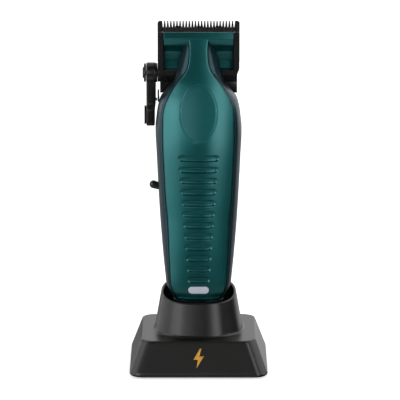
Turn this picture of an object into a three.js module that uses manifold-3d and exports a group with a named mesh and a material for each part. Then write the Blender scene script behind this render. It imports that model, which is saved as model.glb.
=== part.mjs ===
// Cordless hair clipper standing in its charging stand, as an assembly of separate closed solids.
// Millimetres, +Z up, the thumb side faces -Y. The origin is the middle of the stand's footprint.
import * as THREE from "three";
import { mergeVertices } from "three/addons/utils/BufferGeometryUtils.js";
import Module from "manifold-3d";

const wasm = await Module();
wasm.setup();

// ---- Driving dimensions -------------------------------------------------------------------
const GAP = 0.3; // clearance between pieces that touch
const WALL = 2; // clipper shells
const FLOOR = -2.4; // the table, in the heights used below; finished solids are lifted so that it is at 0

const base = { width: 78, depth: 78, top: 18, slope: 6.6, corner: 7, wall: 2.2, lift: 0.8 };
const foot = { radius: 5, height: 1.6, inset: 10 };
const floorPlate = { thick: 2 };
const cup = { rim: 40.4, tilt: 9.4, wall: 1.7, depthRatio: 0.97, power: 2.5 };
const liner = { floor: 23.7, thick: 2, wall: 1.4, top: 33 };
const standScrew = { x: 28.6, y: 12, head: 2.6, shank: 1.3, boss: 3.4, top: 11 };
const standBoard = { halfWidth: 20, front: -16, back: 31, thick: 1.2 };

const PART_Y = 1; // the clipper is widest here, and the head frame starts behind it
const shells = { bottom: 37.3, rearTop: 153 };
const tail = { bottom: 24, spigot: 3.4, power: 2.8, wall: 1.5 };
const head = { halfWidth: 23, lowHalfWidth: 21.8, top: 188.6, step: 166.5, front: -0.4, back: 11.9 };
const web = { front: 6.3, thick: 1.2, bottom: 167.3 };
const plate = { halfWidth: 19.6, thick: 1.3, crease: 185.4, top: 189, bottom: 167.6 };

const groove = { count: 12, pitch: 6.4, height: 3.8, depth: 0.9, first: 120.1, wide: 11.4, narrow: 6.4 };
const dish = { z: 145.4, halfWidth: 10.3, halfHeight: 15.4 };
const light = { z: 43.6, width: 11.8, height: 4.3 };

const comb = {
  top: 193.5, bottom: 170, thick: 3, tip: 0.7, slots: 24, corner: 2.8, tooth: 0.95, depth: 3.8,
};
const cutter = {
  top: 190.7, bottom: 177.5, thick: 1.8, halfWidth: 19.3, slots: 25, tooth: 0.75, depth: 3.8,
};
const bladeScrew = { x: 13.5, z: 174, head: 3, shank: 1.4 };
const drive = { y: 3, throw: 1.2, shaft: 1, cam: 4.5, pin: 0.9, bearing: 2.2, camZ: 148, forkZ: 153.5 };
const yoke = { thick: 1.3, armHalf: 4, prong: 1.8, forkHeight: 4, headHalf: 9 };
const motor = { radius: 12, bottom: 114.5, length: 30 };
const battery = { radius: 9.2, length: 65, bottom: 47, y: 2.5 };
const board = { y: -11, halfWidth: 11, bottom: 43, top: 112, thick: 1.2 };
const housingScrew = { head: 2.1, shank: 1.1, post: 2.3, boss: 3.4, sink: 3 };
const housingScrewPlaces = [[13.7, 62], [16.4, 108]];

const lever = { y: 8, z: 164.6, hub: 5.8, clear: 1.2, thick: 5.4, reach: 30, width: 7.6 };
const tab = { width: 11, height: 12, out: 1.1, clear: 0.7 };
const taper = { shaft: 2.4, offset: 2.2, pin: 1, restDeg: 25, end: -9.3, pinLength: 3.5 };
const detent = { radius: 15.3, pin: 0.9, thick: 0.9, halfBand: 1.4, sweep: 50 };
const toggle = { x: -17.5, y: 4, z: 98.2, restDeg: 18, radius: 2.3, length: 10.9 };
const contact = { x: 8.5, radius: 2.2, recess: 1.2, pin: 1.2, collar: 1.9, travel: 1.5 };
const port = { width: 9, height: 3.3, length: 7, y: 7.5 };
const inletZ = 9.2;

// Each profile is a smooth curve through [z, value] stations.
const halfWidthAt = curve([
  [39, 15.2], [41, 16.9], [44, 18.3], [50, 19], [60, 20], [81, 21.7], [100, 22.8], [120, 23.8],
  [134, 24.4], [143, 23.6], [148, 22.7], [152.5, 21.2], [156.5, 18.2], [160, 15], [165, 12.8],
  [169.5, 12.2], [174, 10.9], [180, 8.6], [186, 6.6],
]);
const panelHalfAt = curve([
  [39, 12.6], [42, 14.6], [46, 15.8], [60, 16.6], [84, 17.6], [96, 18.7], [113, 19.6], [127, 20.2],
  [141, 20.2], [146, 19.8], [150, 18.7], [155, 16.4], [161.5, 12.2], [165.8, 8.7], [169.5, 6.5],
  [174, 5.5], [180, 5.3], [186, 6],
]);
const frontAt = curve([
  [39, -15.5], [50, -17.2], [70, -18.8], [100, -19.8], [125, -19.8], [140, -18.6], [150, -16.8],
  [160, -13.6], [170, -9.4], [180, -5], [186, -2.5], [189, -1],
]);
const crownAt = curve([
  [39, 3.4], [60, 4.4], [120, 5], [145, 4.6], [155, 3], [163, 1.2], [170, 0.5], [186, 0.4],
]);
const rearAt = curve([[39, 15.5], [50, 17.4], [80, 19.8], [120, 21.5], [140, 21], [153, 19], [186, 12]]);
const cupHalfAt = curve([[15, 25.7], [21, 24.7], [28, 23.4], [35, 22.2], [42, 20.9], [50, 19.4]]);
const tailHalfAt = curve([[24, 12.4], [25, 13.4], [28, 14.3], [39, 14.9]]);

// ---- Materials ----------------------------------------------------------------------------
const finish = (color, roughness, metalness) =>
  new THREE.MeshStandardMaterial({ color, roughness, metalness });
const TEAL = finish(0x155c62, 0.3, 0.6);
const GRAPHITE = finish(0x26282b, 0.45, 0.3);
const BLACK = finish(0x151515, 0.4, 0);
const BLADE = finish(0x1b1a1a, 0.3, 0.7);
const STEEL = finish(0xa8a8a8, 0.35, 0.9);
const BRASS = finish(0xc9a04a, 0.3, 0.9);
const CELL = finish(0x2f6fa5, 0.5, 0);
const BOARD = finish(0x1d5a35, 0.6, 0);
const LENS = finish(0xe3e6ee, 0.25, 0);
const RUBBER = finish(0x101010, 0.8, 0);

// ---- Helpers ------------------------------------------------------------------------------
// Cubic Hermite curve through [z, value] stations, level beyond the ends.
function curve(stations) {
  const slope = stations.map((_, i) => {
    const before = stations[Math.max(i - 1, 0)];
    const after = stations[Math.min(i + 1, stations.length - 1)];
    return (after[1] - before[1]) / (after[0] - before[0]);
  });
  return (z) => {
    const last = stations.length - 1;
    if (z <= stations[0][0]) return stations[0][1];
    if (z >= stations[last][0]) return stations[last][1];
    const i = stations.findIndex((s) => s[0] > z) - 1;
    const [[z0, v0], [z1, v1]] = [stations[i], stations[i + 1]];
    const span = z1 - z0;
    const t = (z - z0) / span;
    const s = 1 - t;
    return s * s * (1 + 2 * t) * v0 + s * s * t * span * slope[i] +
      t * t * (3 - 2 * t) * v1 - t * t * s * span * slope[i + 1];
  };
}

const range = (n) => Array.from({ length: n }, (_, i) => i);
const spread = (from, to, n) => range(n + 1).map((i) => from + ((to - from) * i) / n);
const rad = THREE.MathUtils.degToRad;

function solid(geometry) {
  const bare = geometry.index ? geometry.toNonIndexed() : geometry.clone();
  bare.deleteAttribute("normal");
  bare.deleteAttribute("uv");
  const merged = mergeVertices(bare, 1e-4);
  return new wasm.Manifold(new wasm.Mesh({
    numProp: 3,
    vertProperties: merged.attributes.position.array,
    triVerts: new Uint32Array(merged.index.array),
  }));
}

function geometryOf(manifold) {
  const mesh = manifold.getMesh();
  const geometry = new THREE.BufferGeometry();
  geometry.setAttribute("position", new THREE.BufferAttribute(mesh.vertProperties, 3));
  geometry.setIndex(new THREE.BufferAttribute(mesh.triVerts, 1));
  return geometry;
}

const join = (...pieces) => pieces.reduce((a, b) => a.add(b));
const cut = (piece, ...tools) => tools.reduce((a, b) => a.subtract(b), piece);

// A box between two corners.
function block(x0, x1, y0, y1, z0, z1) {
  const box = new THREE.BoxGeometry(x1 - x0, y1 - y0, z1 - z0);
  return solid(box.translate((x0 + x1) / 2, (y0 + y1) / 2, (z0 + z1) / 2));
}

// Round rods along X, Y and Z, from one end to the other.
function rodX(r, x0, x1, y, z, sides = 18) {
  const g = new THREE.CylinderGeometry(r, r, x1 - x0, sides).rotateZ(Math.PI / 2);
  return solid(g.translate((x0 + x1) / 2, y, z));
}
function rodY(r, y0, y1, x, z, sides = 14) {
  return solid(new THREE.CylinderGeometry(r, r, y1 - y0, sides).translate(x, (y0 + y1) / 2, z));
}
function rodZ(r, z0, z1, x, y, sides = 18) {
  const g = new THREE.CylinderGeometry(r, r, z1 - z0, sides).rotateX(Math.PI / 2);
  return solid(g.translate(x, y, (z0 + z1) / 2));
}

function shapeOf(points) {
  return new THREE.Shape(points.map(([x, y]) => new THREE.Vector2(x, y)));
}

// Rectangle with round corners, centred on the origin.
function roundedRect(w, h, r) {
  const s = new THREE.Shape();
  const [a, b] = [w / 2 - r, h / 2 - r];
  s.absarc(a, b, r, 0, Math.PI / 2);
  s.absarc(-a, b, r, Math.PI / 2, Math.PI);
  s.absarc(-a, -b, r, Math.PI, 1.5 * Math.PI);
  s.absarc(a, -b, r, 1.5 * Math.PI, 2 * Math.PI);
  return s;
}

const flat = (depth, curveSegments = 5) => ({ depth, bevelEnabled: false, curveSegments });

// A flat outline given in (x, z), pushed along Y from y0 to y1.
function extrudeY(shape, y0, y1, x = 0, z = 0, segments = 5) {
  const g = new THREE.ExtrudeGeometry(shape, flat(y1 - y0, segments)).rotateX(Math.PI / 2);
  return solid(g.translate(x, y1, z));
}

// A flat outline given in (y, z), pushed along X from x0 to x1.
function extrudeX(shape, x0, x1, segments = 8) {
  const g = new THREE.ExtrudeGeometry(shape, flat(x1 - x0, segments));
  g.applyMatrix4(new THREE.Matrix4().set(0, 0, 1, x0, 1, 0, 0, 0, 0, 1, 0, 0, 0, 0, 0, 1));
  return solid(g);
}

function extrudeZ(shape, z0, z1, x = 0, y = 0, segments = 5) {
  return solid(new THREE.ExtrudeGeometry(shape, flat(z1 - z0, segments)).translate(x, y, z0));
}

// A closed skin through one ring of [x, y] points per level, made by reshaping a cylinder.
// Rings start at the front (-Y) and run anticlockwise seen from above.
function loft(levels, ringAt) {
  const rings = levels.map((z) => ringAt(z));
  const sides = rings[0].length;
  const rows = levels.length - 1;
  const g = new THREE.CylinderGeometry(1, 1, 1, sides, rows).rotateX(Math.PI / 2);
  const pos = g.attributes.position;
  for (let k = 0; k < pos.count; k++) {
    const [x, y, z] = [pos.getX(k), pos.getY(k), pos.getZ(k)];
    const row = Math.round((z + 0.5) * rows);
    const turn = (Math.atan2(x, -y) / (2 * Math.PI) + 1) % 1;
    const middle = Math.hypot(x, y) < 0.5;
    const [rx, ry] = middle ? [0, centreY(rings[row])] : rings[row][Math.round(turn * sides) % sides];
    pos.setXYZ(k, rx, ry, levels[row]);
  }
  return solid(g);
}
const centreY = (ring) => (ring[0][1] + ring[ring.length / 2][1]) / 2;

// Ring of a rectangle with round corners.
function boxRing(a, b, r, steps = 4) {
  const corner = (cx, cy, from) =>
    spread(from, from + Math.PI / 2, steps).map((t) => [cx + r * Math.cos(t), cy + r * Math.sin(t)]);
  const right = [...corner(a - r, r - b, -Math.PI / 2), ...corner(a - r, b - r, 0)];
  const left = right.map(([x, y]) => [-x, y]).reverse();
  return [[0, -b], ...right, [0, b], ...left];
}

// Superellipse ring, for cups and caps.
function ovalRing(a, b, power, sides = 28) {
  return range(sides).map((i) => {
    const t = (2 * Math.PI * i) / sides;
    const pull = (v) => Math.sign(v) * Math.abs(v) ** (2 / power);
    return [a * pull(Math.sin(t)), -b * pull(Math.cos(t))];
  });
}

// One level of the clipper body: crowned panel to a crease, steep flank to the widest point,
// then a rounded back. The inset moves the whole ring inwards.
function bodyRing(z, inset = 0) {
  const [panelSteps, flankSteps, rearSteps] = [4, 3, 5];
  const a = halfWidthAt(z) - inset;
  const p = panelHalfAt(z) - inset * 0.8;
  const front = frontAt(z) + inset;
  const rear = rearAt(z) - inset;
  const creaseY = front + crownAt(z);
  const bendY = Math.min(creaseY + 1.6 * (a - p), PART_Y);
  const half = [];
  for (const u of range(panelSteps).map((i) => i / panelSteps))
    half.push([p * u, front + crownAt(z) * u * u]);
  for (const t of range(flankSteps).map((i) => i / flankSteps)) {
    const [k0, k1, k2] = [(1 - t) ** 2, 2 * t * (1 - t), t * t];
    half.push([k0 * p + (k1 + k2) * a, k0 * creaseY + k1 * bendY + k2 * PART_Y]);
  }
  for (const f of spread(0, Math.PI / 2, rearSteps)) {
    const power = 2 / 2.6;
    half.push([a * Math.cos(f) ** power, PART_Y + (rear - PART_Y) * Math.sin(f) ** power]);
  }
  half[half.length - 1][0] = 0;
  const mirrored = half.slice(1, -1).reverse().map(([x, y]) => [-x, y]);
  return [...half, ...mirrored];
}

const group = new THREE.Group();
group.name = "hair_clipper";
function add(name, manifold, material) {
  const mesh = new THREE.Mesh(geometryOf(manifold.translate([0, 0, -FLOOR])), material);
  mesh.name = name;
  group.add(mesh);
}

const sides = [["left", -1], ["right", 1]];
const corners = [[-1, -1], [1, -1], [-1, 1], [1, 1]];

// ---- Charging stand -----------------------------------------------------------------------
const slopeFoot = FLOOR + base.lift + 1.4; // the bottom edge is rounded below this
const slopeAt = (z) => (base.slope * Math.max(z - slopeFoot, 0)) / (base.top - slopeFoot);

function baseRing(z, inset) {
  const shrink = slopeAt(z) + inset;
  return boxRing(base.width / 2 - shrink, base.depth / 2 - shrink, Math.max(base.corner - inset, 1));
}

function cupRing(z, inset = 0) {
  const half = cupHalfAt(z) - inset;
  return ovalRing(half, half * cup.depthRatio, cup.power);
}

const cradleHalfAt = (z) => tailHalfAt(z) + GAP + Math.max(z - tail.bottom, 0) * 0.16;

function cradleRing(z, grow = 0) {
  const half = cradleHalfAt(z) + grow;
  return ovalRing(half, half, tail.power);
}

// Everything above the tilted rim, as a wedge to cut away.
function aboveRim() {
  const rise = Math.tan(rad(cup.tilt)) * 30;
  return extrudeX(shapeOf([[-30, cup.rim - rise], [30, cup.rim + rise], [30, 70], [-30, 70]]), -30, 30);
}

function standShell() {
  const low = FLOOR + base.lift;
  const edge = (z) => base.lift * Math.max((slopeFoot - z) / (slopeFoot - low), 0) ** 2;
  const skirt = loft([low, low + 0.6, slopeFoot, base.top], (z) => baseRing(z, edge(z)));
  const inside = loft([low - 1, slopeFoot, base.top - base.wall], (z) => baseRing(z, base.wall));
  const levels = spread(base.top - base.wall, cup.rim + 8, 6);
  const sleeve = loft(levels, (z) => cupRing(z));
  const pocketLevels = [base.top - base.wall - 1, ...levels.slice(1), cup.rim + 9];
  const pocket = loft(pocketLevels, (z) => cupRing(z, cup.wall));
  const core = loft([FLOOR, base.top], (z) => baseRing(z, 1));
  const bosses = standScrewPlaces().map(([x, y]) =>
    rodZ(standScrew.boss, plateTop() + GAP, base.top - 1, x, y).intersect(core));
  const bores = standScrewPlaces().map(([x, y]) =>
    rodZ(standScrew.shank + GAP, FLOOR, standScrew.top + 1, x, y, 12));
  const inlet = roundedRect(port.width + 2 * GAP, port.height + 2 * GAP, port.height / 2);
  return cut(join(cut(skirt, inside), sleeve, ...bosses), pocket, aboveRim(), ...bores,
    extrudeY(inlet, base.depth / 2 - 8, base.depth / 2 + 1, 0, inletZ));
}

const standScrewPlaces = () => corners.map(([i, j]) => [i * standScrew.x, j * standScrew.y]);
const plateBottom = () => FLOOR + foot.height + GAP;
const plateTop = () => plateBottom() + floorPlate.thick;

function standBasePlate() {
  const slab = loft([plateBottom(), plateTop()], (z) => baseRing(z, base.wall + GAP));
  const holes = standScrewPlaces().flatMap(([x, y]) => [
    rodZ(standScrew.shank + GAP, FLOOR, 10, x, y, 12),
    rodZ(standScrew.head + GAP, FLOOR, plateBottom() + 1, x, y),
  ]);
  return cut(slab, ...holes);
}

function standScrewSolid([x, y]) {
  const seat = plateBottom() + 1 - GAP;
  const shape = join(rodZ(standScrew.head, seat - 1.2, seat, x, y),
    rodZ(standScrew.shank, seat - 0.5, standScrew.top, x, y, 12));
  return cut(shape, rodZ(1.1, FLOOR, seat - 0.6, x, y, 6));
}

function cradleLiner() {
  const low = liner.floor - liner.thick;
  const levels = spread(low, liner.top, 4);
  const outer = loft(levels, (z) => cradleRing(z, liner.wall));
  const flange = loft([liner.top - 1.6, liner.top], (z) => cupRing(z, cup.wall + GAP));
  const inner = loft(spread(liner.floor, liner.top + 1, 4), (z) => cradleRing(z));
  const holes = sides.map(([, s]) => rodZ(contact.pin + GAP, 0, 40, s * contact.x, 0, 14));
  return cut(join(outer, flange), inner, ...holes);
}

const pinTip = tail.bottom + contact.recess - GAP;
const collarZ = liner.floor - liner.thick - GAP - 1;

function contactPin(s) {
  const x = s * contact.x;
  const tip = new THREE.SphereGeometry(contact.pin, 10, 6).rotateX(Math.PI / 2);
  return join(rodZ(contact.pin, 15.5, pinTip - contact.pin, x, 0, 10),
    rodZ(contact.collar, collarZ, collarZ + 1, x, 0, 12),
    solid(tip.translate(x, 0, pinTip - contact.pin)));
}

function pinHolder() {
  const top = collarZ - contact.travel - GAP;
  const holes = sides.map(([, s]) => rodZ(contact.pin + GAP, 0, 30, s * contact.x, 0, 14));
  return cut(extrudeZ(roundedRect(2 * contact.x + 8, 9, 2), top - 2.6, top), ...holes);
}

function standCircuitBoard() {
  const low = inletZ + port.height / 2 + GAP;
  return block(-standBoard.halfWidth, standBoard.halfWidth, standBoard.front, standBoard.back,
    low, low + standBoard.thick);
}

// Flat oval charge socket: a shell with a tongue, its mouth at the +Z end before it is turned.
function socket() {
  const outside = extrudeZ(roundedRect(port.width, port.height, port.height / 2 - 0.05), 0, port.length);
  const r = port.height / 2 - 0.45;
  const mouth = extrudeZ(roundedRect(port.width - 0.8, port.height - 0.8, r), 1, port.length + 1);
  return join(cut(outside, mouth), block(-3, 3, -0.35, 0.35, 0.5, port.length - 0.8));
}

function standChargeInlet() {
  const face = base.depth / 2 - slopeAt(inletZ) - 0.6;
  return socket().rotate([-90, 0, 0]).translate([0, face - port.length, inletZ]);
}

add("stand_shell", standShell(), BLACK);
add("stand_base_plate", standBasePlate(), BLACK);
corners.forEach(([i, j], k) => {
  const [x, y] = [i * (base.width / 2 - foot.inset), j * (base.depth / 2 - foot.inset)];
  add(`stand_foot_${k + 1}`, rodZ(foot.radius, FLOOR, FLOOR + foot.height, x, y, 24), RUBBER);
});
standScrewPlaces().forEach((place, k) => add(`stand_screw_${k + 1}`, standScrewSolid(place), STEEL));
add("cradle_liner", cradleLiner(), BLACK);
sides.forEach(([side, s]) => add(`stand_contact_pin_${side}`, contactPin(s), BRASS));
add("stand_pin_holder", pinHolder(), BLACK);
add("stand_circuit_board", standCircuitBoard(), BOARD);
add("stand_charge_inlet", standChargeInlet(), STEEL);

// ---- Clipper shells -----------------------------------------------------------------------
const neckTop = plate.crease + 1.6;
const bodyLevels = [
  shells.bottom, shells.bottom + 1, 43, 50, 64, 84, 104, 120, 132, 141, 147, shells.rearTop,
  158, 163, 169.5, 176, 181, neckTop,
];
const rearTopLevel = bodyLevels.indexOf(shells.rearTop);
const rimInset = (z) => (z < shells.bottom + 0.5 ? 0.6 : 0);
const bodyOuter = loft(bodyLevels, (z) => bodyRing(z, rimInset(z)));
const hollowLevels = [shells.bottom - 1, ...bodyLevels.slice(1, -1)];
const bodyHollow = loft(hollowLevels, (z) => bodyRing(z, WALL));
const rearTopCut = block(-40, 40, PART_Y, 60, shells.rearTop, 220);
const bodyShell = cut(bodyOuter, bodyHollow, rearTopCut);

// The space in front of the crease line, where the front cover is.
function frontSpace(margin) {
  return loft([shells.bottom - 2, ...bodyLevels.slice(1, -1), neckTop + 2], (z) => {
    const p = panelHalfAt(z) + margin;
    const back = frontAt(z) + crownAt(z) + WALL + margin;
    return [[0, -40], [p, -40], [p, -20], [p, back], [0, back], [-p, back], [-p, -20], [-p, -40]];
  });
}

// Shallow recesses follow the crowned surface: outlines pushed through its outer skin.
function skin(depth) {
  const levels = bodyLevels.slice(2, rearTopLevel + 4);
  return cut(loft(levels, (z) => bodyRing(z, -1)), loft(levels, (z) => bodyRing(z, depth)));
}

function stadium(halfWidth, height) {
  return roundedRect(2 * halfWidth, height, height / 2 - 0.01);
}

function grooveOutlines() {
  return range(groove.count).map((k) => {
    const half = groove.wide + ((groove.narrow - groove.wide) * k) / (groove.count - 1);
    return extrudeY(stadium(half, groove.height), -30, 0, 0, groove.first - k * groove.pitch, 3);
  });
}

function dishOutline() {
  const oval = new THREE.Shape().absellipse(0, 0, dish.halfWidth, dish.halfHeight, 0, 2 * Math.PI);
  return extrudeY(oval, -30, 0, 0, dish.z, 12);
}

function lightOutline(margin) {
  return extrudeY(stadium(light.width / 2 + margin, light.height + 2 * margin), -30, -8, 0, light.z);
}

// The wide plate under the blade: flat lip, then a scoop that falls back below the crease.
function scoopPlate() {
  const face = [
    [-0.9, plate.top], [-2.7, plate.crease], [0.9, 181.5], [2.6, 179.5], [3.6, 177], [4.3, 172.5],
    [4.4, plate.bottom],
  ];
  const back = face.map(([y, z]) => [y + plate.thick, z]).reverse();
  const sheet = extrudeX(shapeOf([...face, ...back]), -plate.halfWidth, plate.halfWidth);
  const lip = block(-plate.halfWidth, plate.halfWidth, -1.5, 1.2, plate.crease - 0.2, plate.top);
  const neck = loft([...bodyLevels.slice(rearTopLevel, -1), plate.crease + 0.2], (z) => bodyRing(z, -GAP));
  return cut(join(sheet, lip), neck.intersect(block(-30, 30, -30, PART_Y + GAP, 150, 220)));
}

function frontCover() {
  const recesses = skin(groove.depth).intersect(join(...grooveOutlines(), dishOutline()));
  const panel = cut(bodyShell.intersect(frontSpace(-GAP / 2)), recesses, lightOutline(GAP));
  const posts = housingScrewSites().map(([x, z]) =>
    rodY(housingScrew.post, -30, -2, x, z).intersect(loft(bodyLevels, (h) => bodyRing(h, 1))));
  const bores = housingScrewSites().map(([x, z]) => rodY(housingScrew.shank + GAP, -9, 0, x, z, 12));
  return cut(join(panel, scoopPlate(), ...posts), ...bores);
}

const housingScrewSites = () => housingScrewPlaces.flatMap(([x, z]) => [[-x, z], [x, z]]);

// Back surface of the body at x, from the same curve as its ring.
function rearSurface(x, z) {
  const u = Math.abs(x) / halfWidthAt(z);
  return PART_Y + (rearAt(z) - PART_Y) * (1 - u ** 2.6) ** (1 / 2.6);
}

const headSeat = (x, z) => rearSurface(x, z) - housingScrew.sink;

function rearHousing() {
  const hull = cut(bodyShell, frontSpace(GAP / 2), block(-40, 40, -40, 60, plate.crease - 0.1, 220));
  const inside = loft(bodyLevels, (z) => bodyRing(z, 1));
  const bosses = housingScrewSites().map(([x, z]) =>
    rodY(housingScrew.boss, -1.4, 30, x, z).intersect(inside));
  const bores = housingScrewSites().flatMap(([x, z]) => [
    rodY(housingScrew.shank + GAP, -5, 30, x, z, 12),
    rodY(housingScrew.head + GAP, headSeat(x, z), 30, x, z),
  ]);
  const slot = roundedRect(2 * toggle.radius + 1, 2 * toggle.radius + 5.4, toggle.radius + 0.4);
  const postRoom = housingScrewSites().map(([x, z]) =>
    rodY(housingScrew.post + GAP, -30, -1.4 - GAP, x, z));
  const toggleSlot = extrudeX(slot, -30, toggle.x - 2).translate([0, toggle.y, toggle.z]);
  return cut(join(hull, ...bosses), ...bores, ...postRoom, toggleSlot);
}

function housingScrewSolid([x, z]) {
  const seat = headSeat(x, z) + GAP;
  const shape = join(rodY(housingScrew.head, seat, seat + 1.5, x, z),
    rodY(housingScrew.shank, -8, seat + 0.2, x, z, 12));
  return cut(shape, rodY(0.9, seat + 0.6, seat + 3, x, z, 6));
}

function tailRing(z, inset = 0) {
  const half = tailHalfAt(z) - inset;
  return ovalRing(half, half, tail.power);
}

// The spigot reaches up into the shells, clear of their inside.
function spigotRing(inset) {
  const half = halfWidthAt(shells.bottom) - WALL - 3.5 * GAP - inset;
  return ovalRing(half, half, tail.power);
}

function tailCap() {
  const top = shells.bottom - GAP;
  const outer = loft([tail.bottom, 24.6, 26, 29, top], (z) => tailRing(z));
  const collar = loft([top - 1, top + tail.spigot], () => spigotRing(0));
  const inner = loft([tail.bottom + WALL, 29, top - 1.6, top + tail.spigot + 1], () => spigotRing(tail.wall));
  const pads = sides.map(([, s]) => rodZ(contact.radius + GAP, 0, 30, s * contact.x, 0));
  const mouth = roundedRect(port.width + 2 * GAP, port.height + 2 * GAP, port.height / 2);
  return cut(join(outer, collar), inner, ...pads, extrudeZ(mouth, 20, 30, 0, port.y));
}

function tailContact(s) {
  const low = tail.bottom + contact.recess;
  const disc = rodZ(contact.radius, low, low + 2, s * contact.x, 0);
  return join(disc, rodZ(0.8, low, low + 6, s * contact.x, 0, 10));
}

add("front_cover", frontCover(), TEAL);
add("rear_housing", rearHousing(), GRAPHITE);
add("tail_cap", tailCap(), BLACK);
sides.forEach(([side, s]) => add(`tail_contact_${side}`, tailContact(s), BRASS));
const portMouth = tail.bottom + 0.4;
add("charge_port", socket().rotate([180, 0, 0]).translate([0, port.y, portMouth + port.length]), STEEL);
add("led_window", bodyShell.intersect(lightOutline(0)), LENS);
housingScrewSites().forEach((site, k) => add(`housing_screw_${k + 1}`, housingScrewSolid(site), STEEL));

// ---- Head ---------------------------------------------------------------------------------
const combFront = head.back + GAP;
const combBack = combFront + comb.thick;
const cutterFront = combFront - GAP - cutter.thick;
const webBack = web.front + web.thick;
const armFront = webBack + GAP;
const armBack = armFront + yoke.thick;
const bracketFront = armBack + GAP;
const cheekInner = plate.halfWidth + GAP;

// Front outline of the head frame: full width beside the plate, chamfered in below it.
function headOutline() {
  const [wide, low] = [head.halfWidth, head.lowHalfWidth];
  const right = [
    [low, shells.rearTop + GAP], [low, head.step - 1.5], [wide, head.step + 1.5], [wide, head.top],
  ];
  return shapeOf([...right, ...right.map(([x, z]) => [-x, z]).reverse()]);
}

function headFrame() {
  const low = shells.rearTop + GAP;
  const rear = rearAt(shells.rearTop);
  const side = extrudeX(shapeOf([
    [web.front, low], [rear, low], [rear - 1.6, 159], [head.back + 1.2, comb.bottom - 4],
    [head.back, comb.bottom - 2.4], [head.back, head.top], [head.front, head.top],
    [head.front, head.step - 2], [PART_Y + 2, head.step - 5], [web.front, head.step - 7],
  ]), -30, 30);
  const solidHead = side.intersect(extrudeY(headOutline(), -10, 40));
  const wall = head.halfWidth - cheekInner;
  const lowInner = head.lowHalfWidth - wall;
  const strokeHalf = cutter.halfWidth + drive.throw + GAP;
  const bladeRoom = block(-strokeHalf, strokeHalf, webBack, 40, comb.bottom - 2, 220);
  const drivingRoom = block(-lowInner, lowInner, webBack, rear - 2 * wall, low - 1, comb.bottom - 6);
  const passage = block(-cheekInner + 1, cheekInner - 1, webBack, head.back - 1, low - 1, comb.bottom);
  const plateRoom = block(-cheekInner, cheekInner, -10, web.front, web.bottom, 220);
  const forkRoom = block(-drive.cam * 2, drive.cam * 2, -10, 12, low - 1, 162);
  const shaftBore = rodX(taper.shaft + GAP, -40, taper.end + 1, lever.y, lever.z);
  const neckRoom = loft(bodyLevels.slice(rearTopLevel - 1), (z) => bodyRing(z, -GAP))
    .intersect(block(-40, 40, -40, PART_Y + GAP, 140, 220));
  const tongueRoom = block(taper.end - 1.3, taper.end + taper.pinLength + GAP, webBack, head.back + 0.2,
    lever.z - 3.6, comb.bottom);
  return cut(solidHead, bladeRoom, drivingRoom, passage, plateRoom, forkRoom, shaftBore, neckRoom,
    tongueRoom);
}

// Comb-like slots that open upwards: the teeth between them end in points.
function toothSlots({ top, depth, slots, tooth }, pitch, y0, y1) {
  const [root, mouth] = [(pitch - tooth * 1.5) / 2, (pitch - tooth * 0.5) / 2];
  const vee = shapeOf([[-root, top - depth], [root, top - depth], [mouth, top + 0.5], [-mouth, top + 0.5]]);
  return range(slots).map((k) => extrudeY(vee, y0, y1, (k - (slots - 1) / 2) * pitch));
}

const bladeScrewHoles = () => sides.map(([, s]) =>
  rodY(bladeScrew.shank + GAP, 0, 30, s * bladeScrew.x, bladeScrew.z, 12));

function combBlade() {
  const half = head.halfWidth + 0.25;
  const profile = extrudeX(shapeOf([
    [combFront, comb.bottom], [combBack - 0.5, comb.bottom], [combBack, comb.bottom + 0.8],
    [combBack, comb.top - 12], [combFront + comb.tip, comb.top], [combFront, comb.top],
  ]), -half, half);
  const ends = sides.map(([, s]) => extrudeY(shapeOf([
    [s * (half - 1), comb.top + 0.1], [s * (half + 0.1), comb.top + 0.1], [s * (half + 0.1), comb.top - 1.2],
  ]), combFront - 1, combBack + 1));
  const inner = 2 * (half - comb.corner);
  const pitch = (inner + comb.tooth) / comb.slots;
  const slots = toothSlots(comb, pitch, combFront - 1, combBack + 1);
  return cut(profile, ...ends, ...slots, ...bladeScrewHoles());
}

function cutterBlade() {
  const back = cutterFront + cutter.thick;
  const profile = extrudeX(shapeOf([
    [cutterFront, cutter.bottom], [back, cutter.bottom], [back, cutter.top], [back - 0.6, cutter.top],
    [cutterFront, cutter.top - 4.5],
  ]), -cutter.halfWidth, cutter.halfWidth);
  const pitch = (2 * cutter.halfWidth - cutter.tooth) / cutter.slots;
  return cut(profile, ...toothSlots(cutter, pitch, cutterFront - 1, back + 1));
}

const forkHalf = drive.bearing + 2 * drive.throw + GAP;

function cutterYoke() {
  const outer = forkHalf + yoke.prong;
  const forkTop = drive.forkZ + yoke.forkHeight;
  const forkFront = drive.y - drive.throw - drive.bearing;
  const fork = block(-outer, outer, forkFront, armBack, drive.forkZ, forkTop);
  const mouth = block(-forkHalf, forkHalf, forkFront - 1, armFront - 0.1, drive.forkZ - 1, forkTop + 1);
  const low = cutter.bottom;
  const arm = block(-yoke.armHalf, yoke.armHalf, armFront, armBack, drive.forkZ, low + 3);
  const bar = block(-yoke.headHalf, yoke.headHalf, armFront, armBack, low + 0.8, low + 6);
  const feet = sides.map(([, s]) =>
    block(s * 6.5 - 1.2, s * 6.5 + 1.2, armBack - 0.2, cutterFront - 0.1, low + 2, low + 4.6));
  return join(cut(fork, mouth), arm, bar, ...feet);
}

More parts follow.
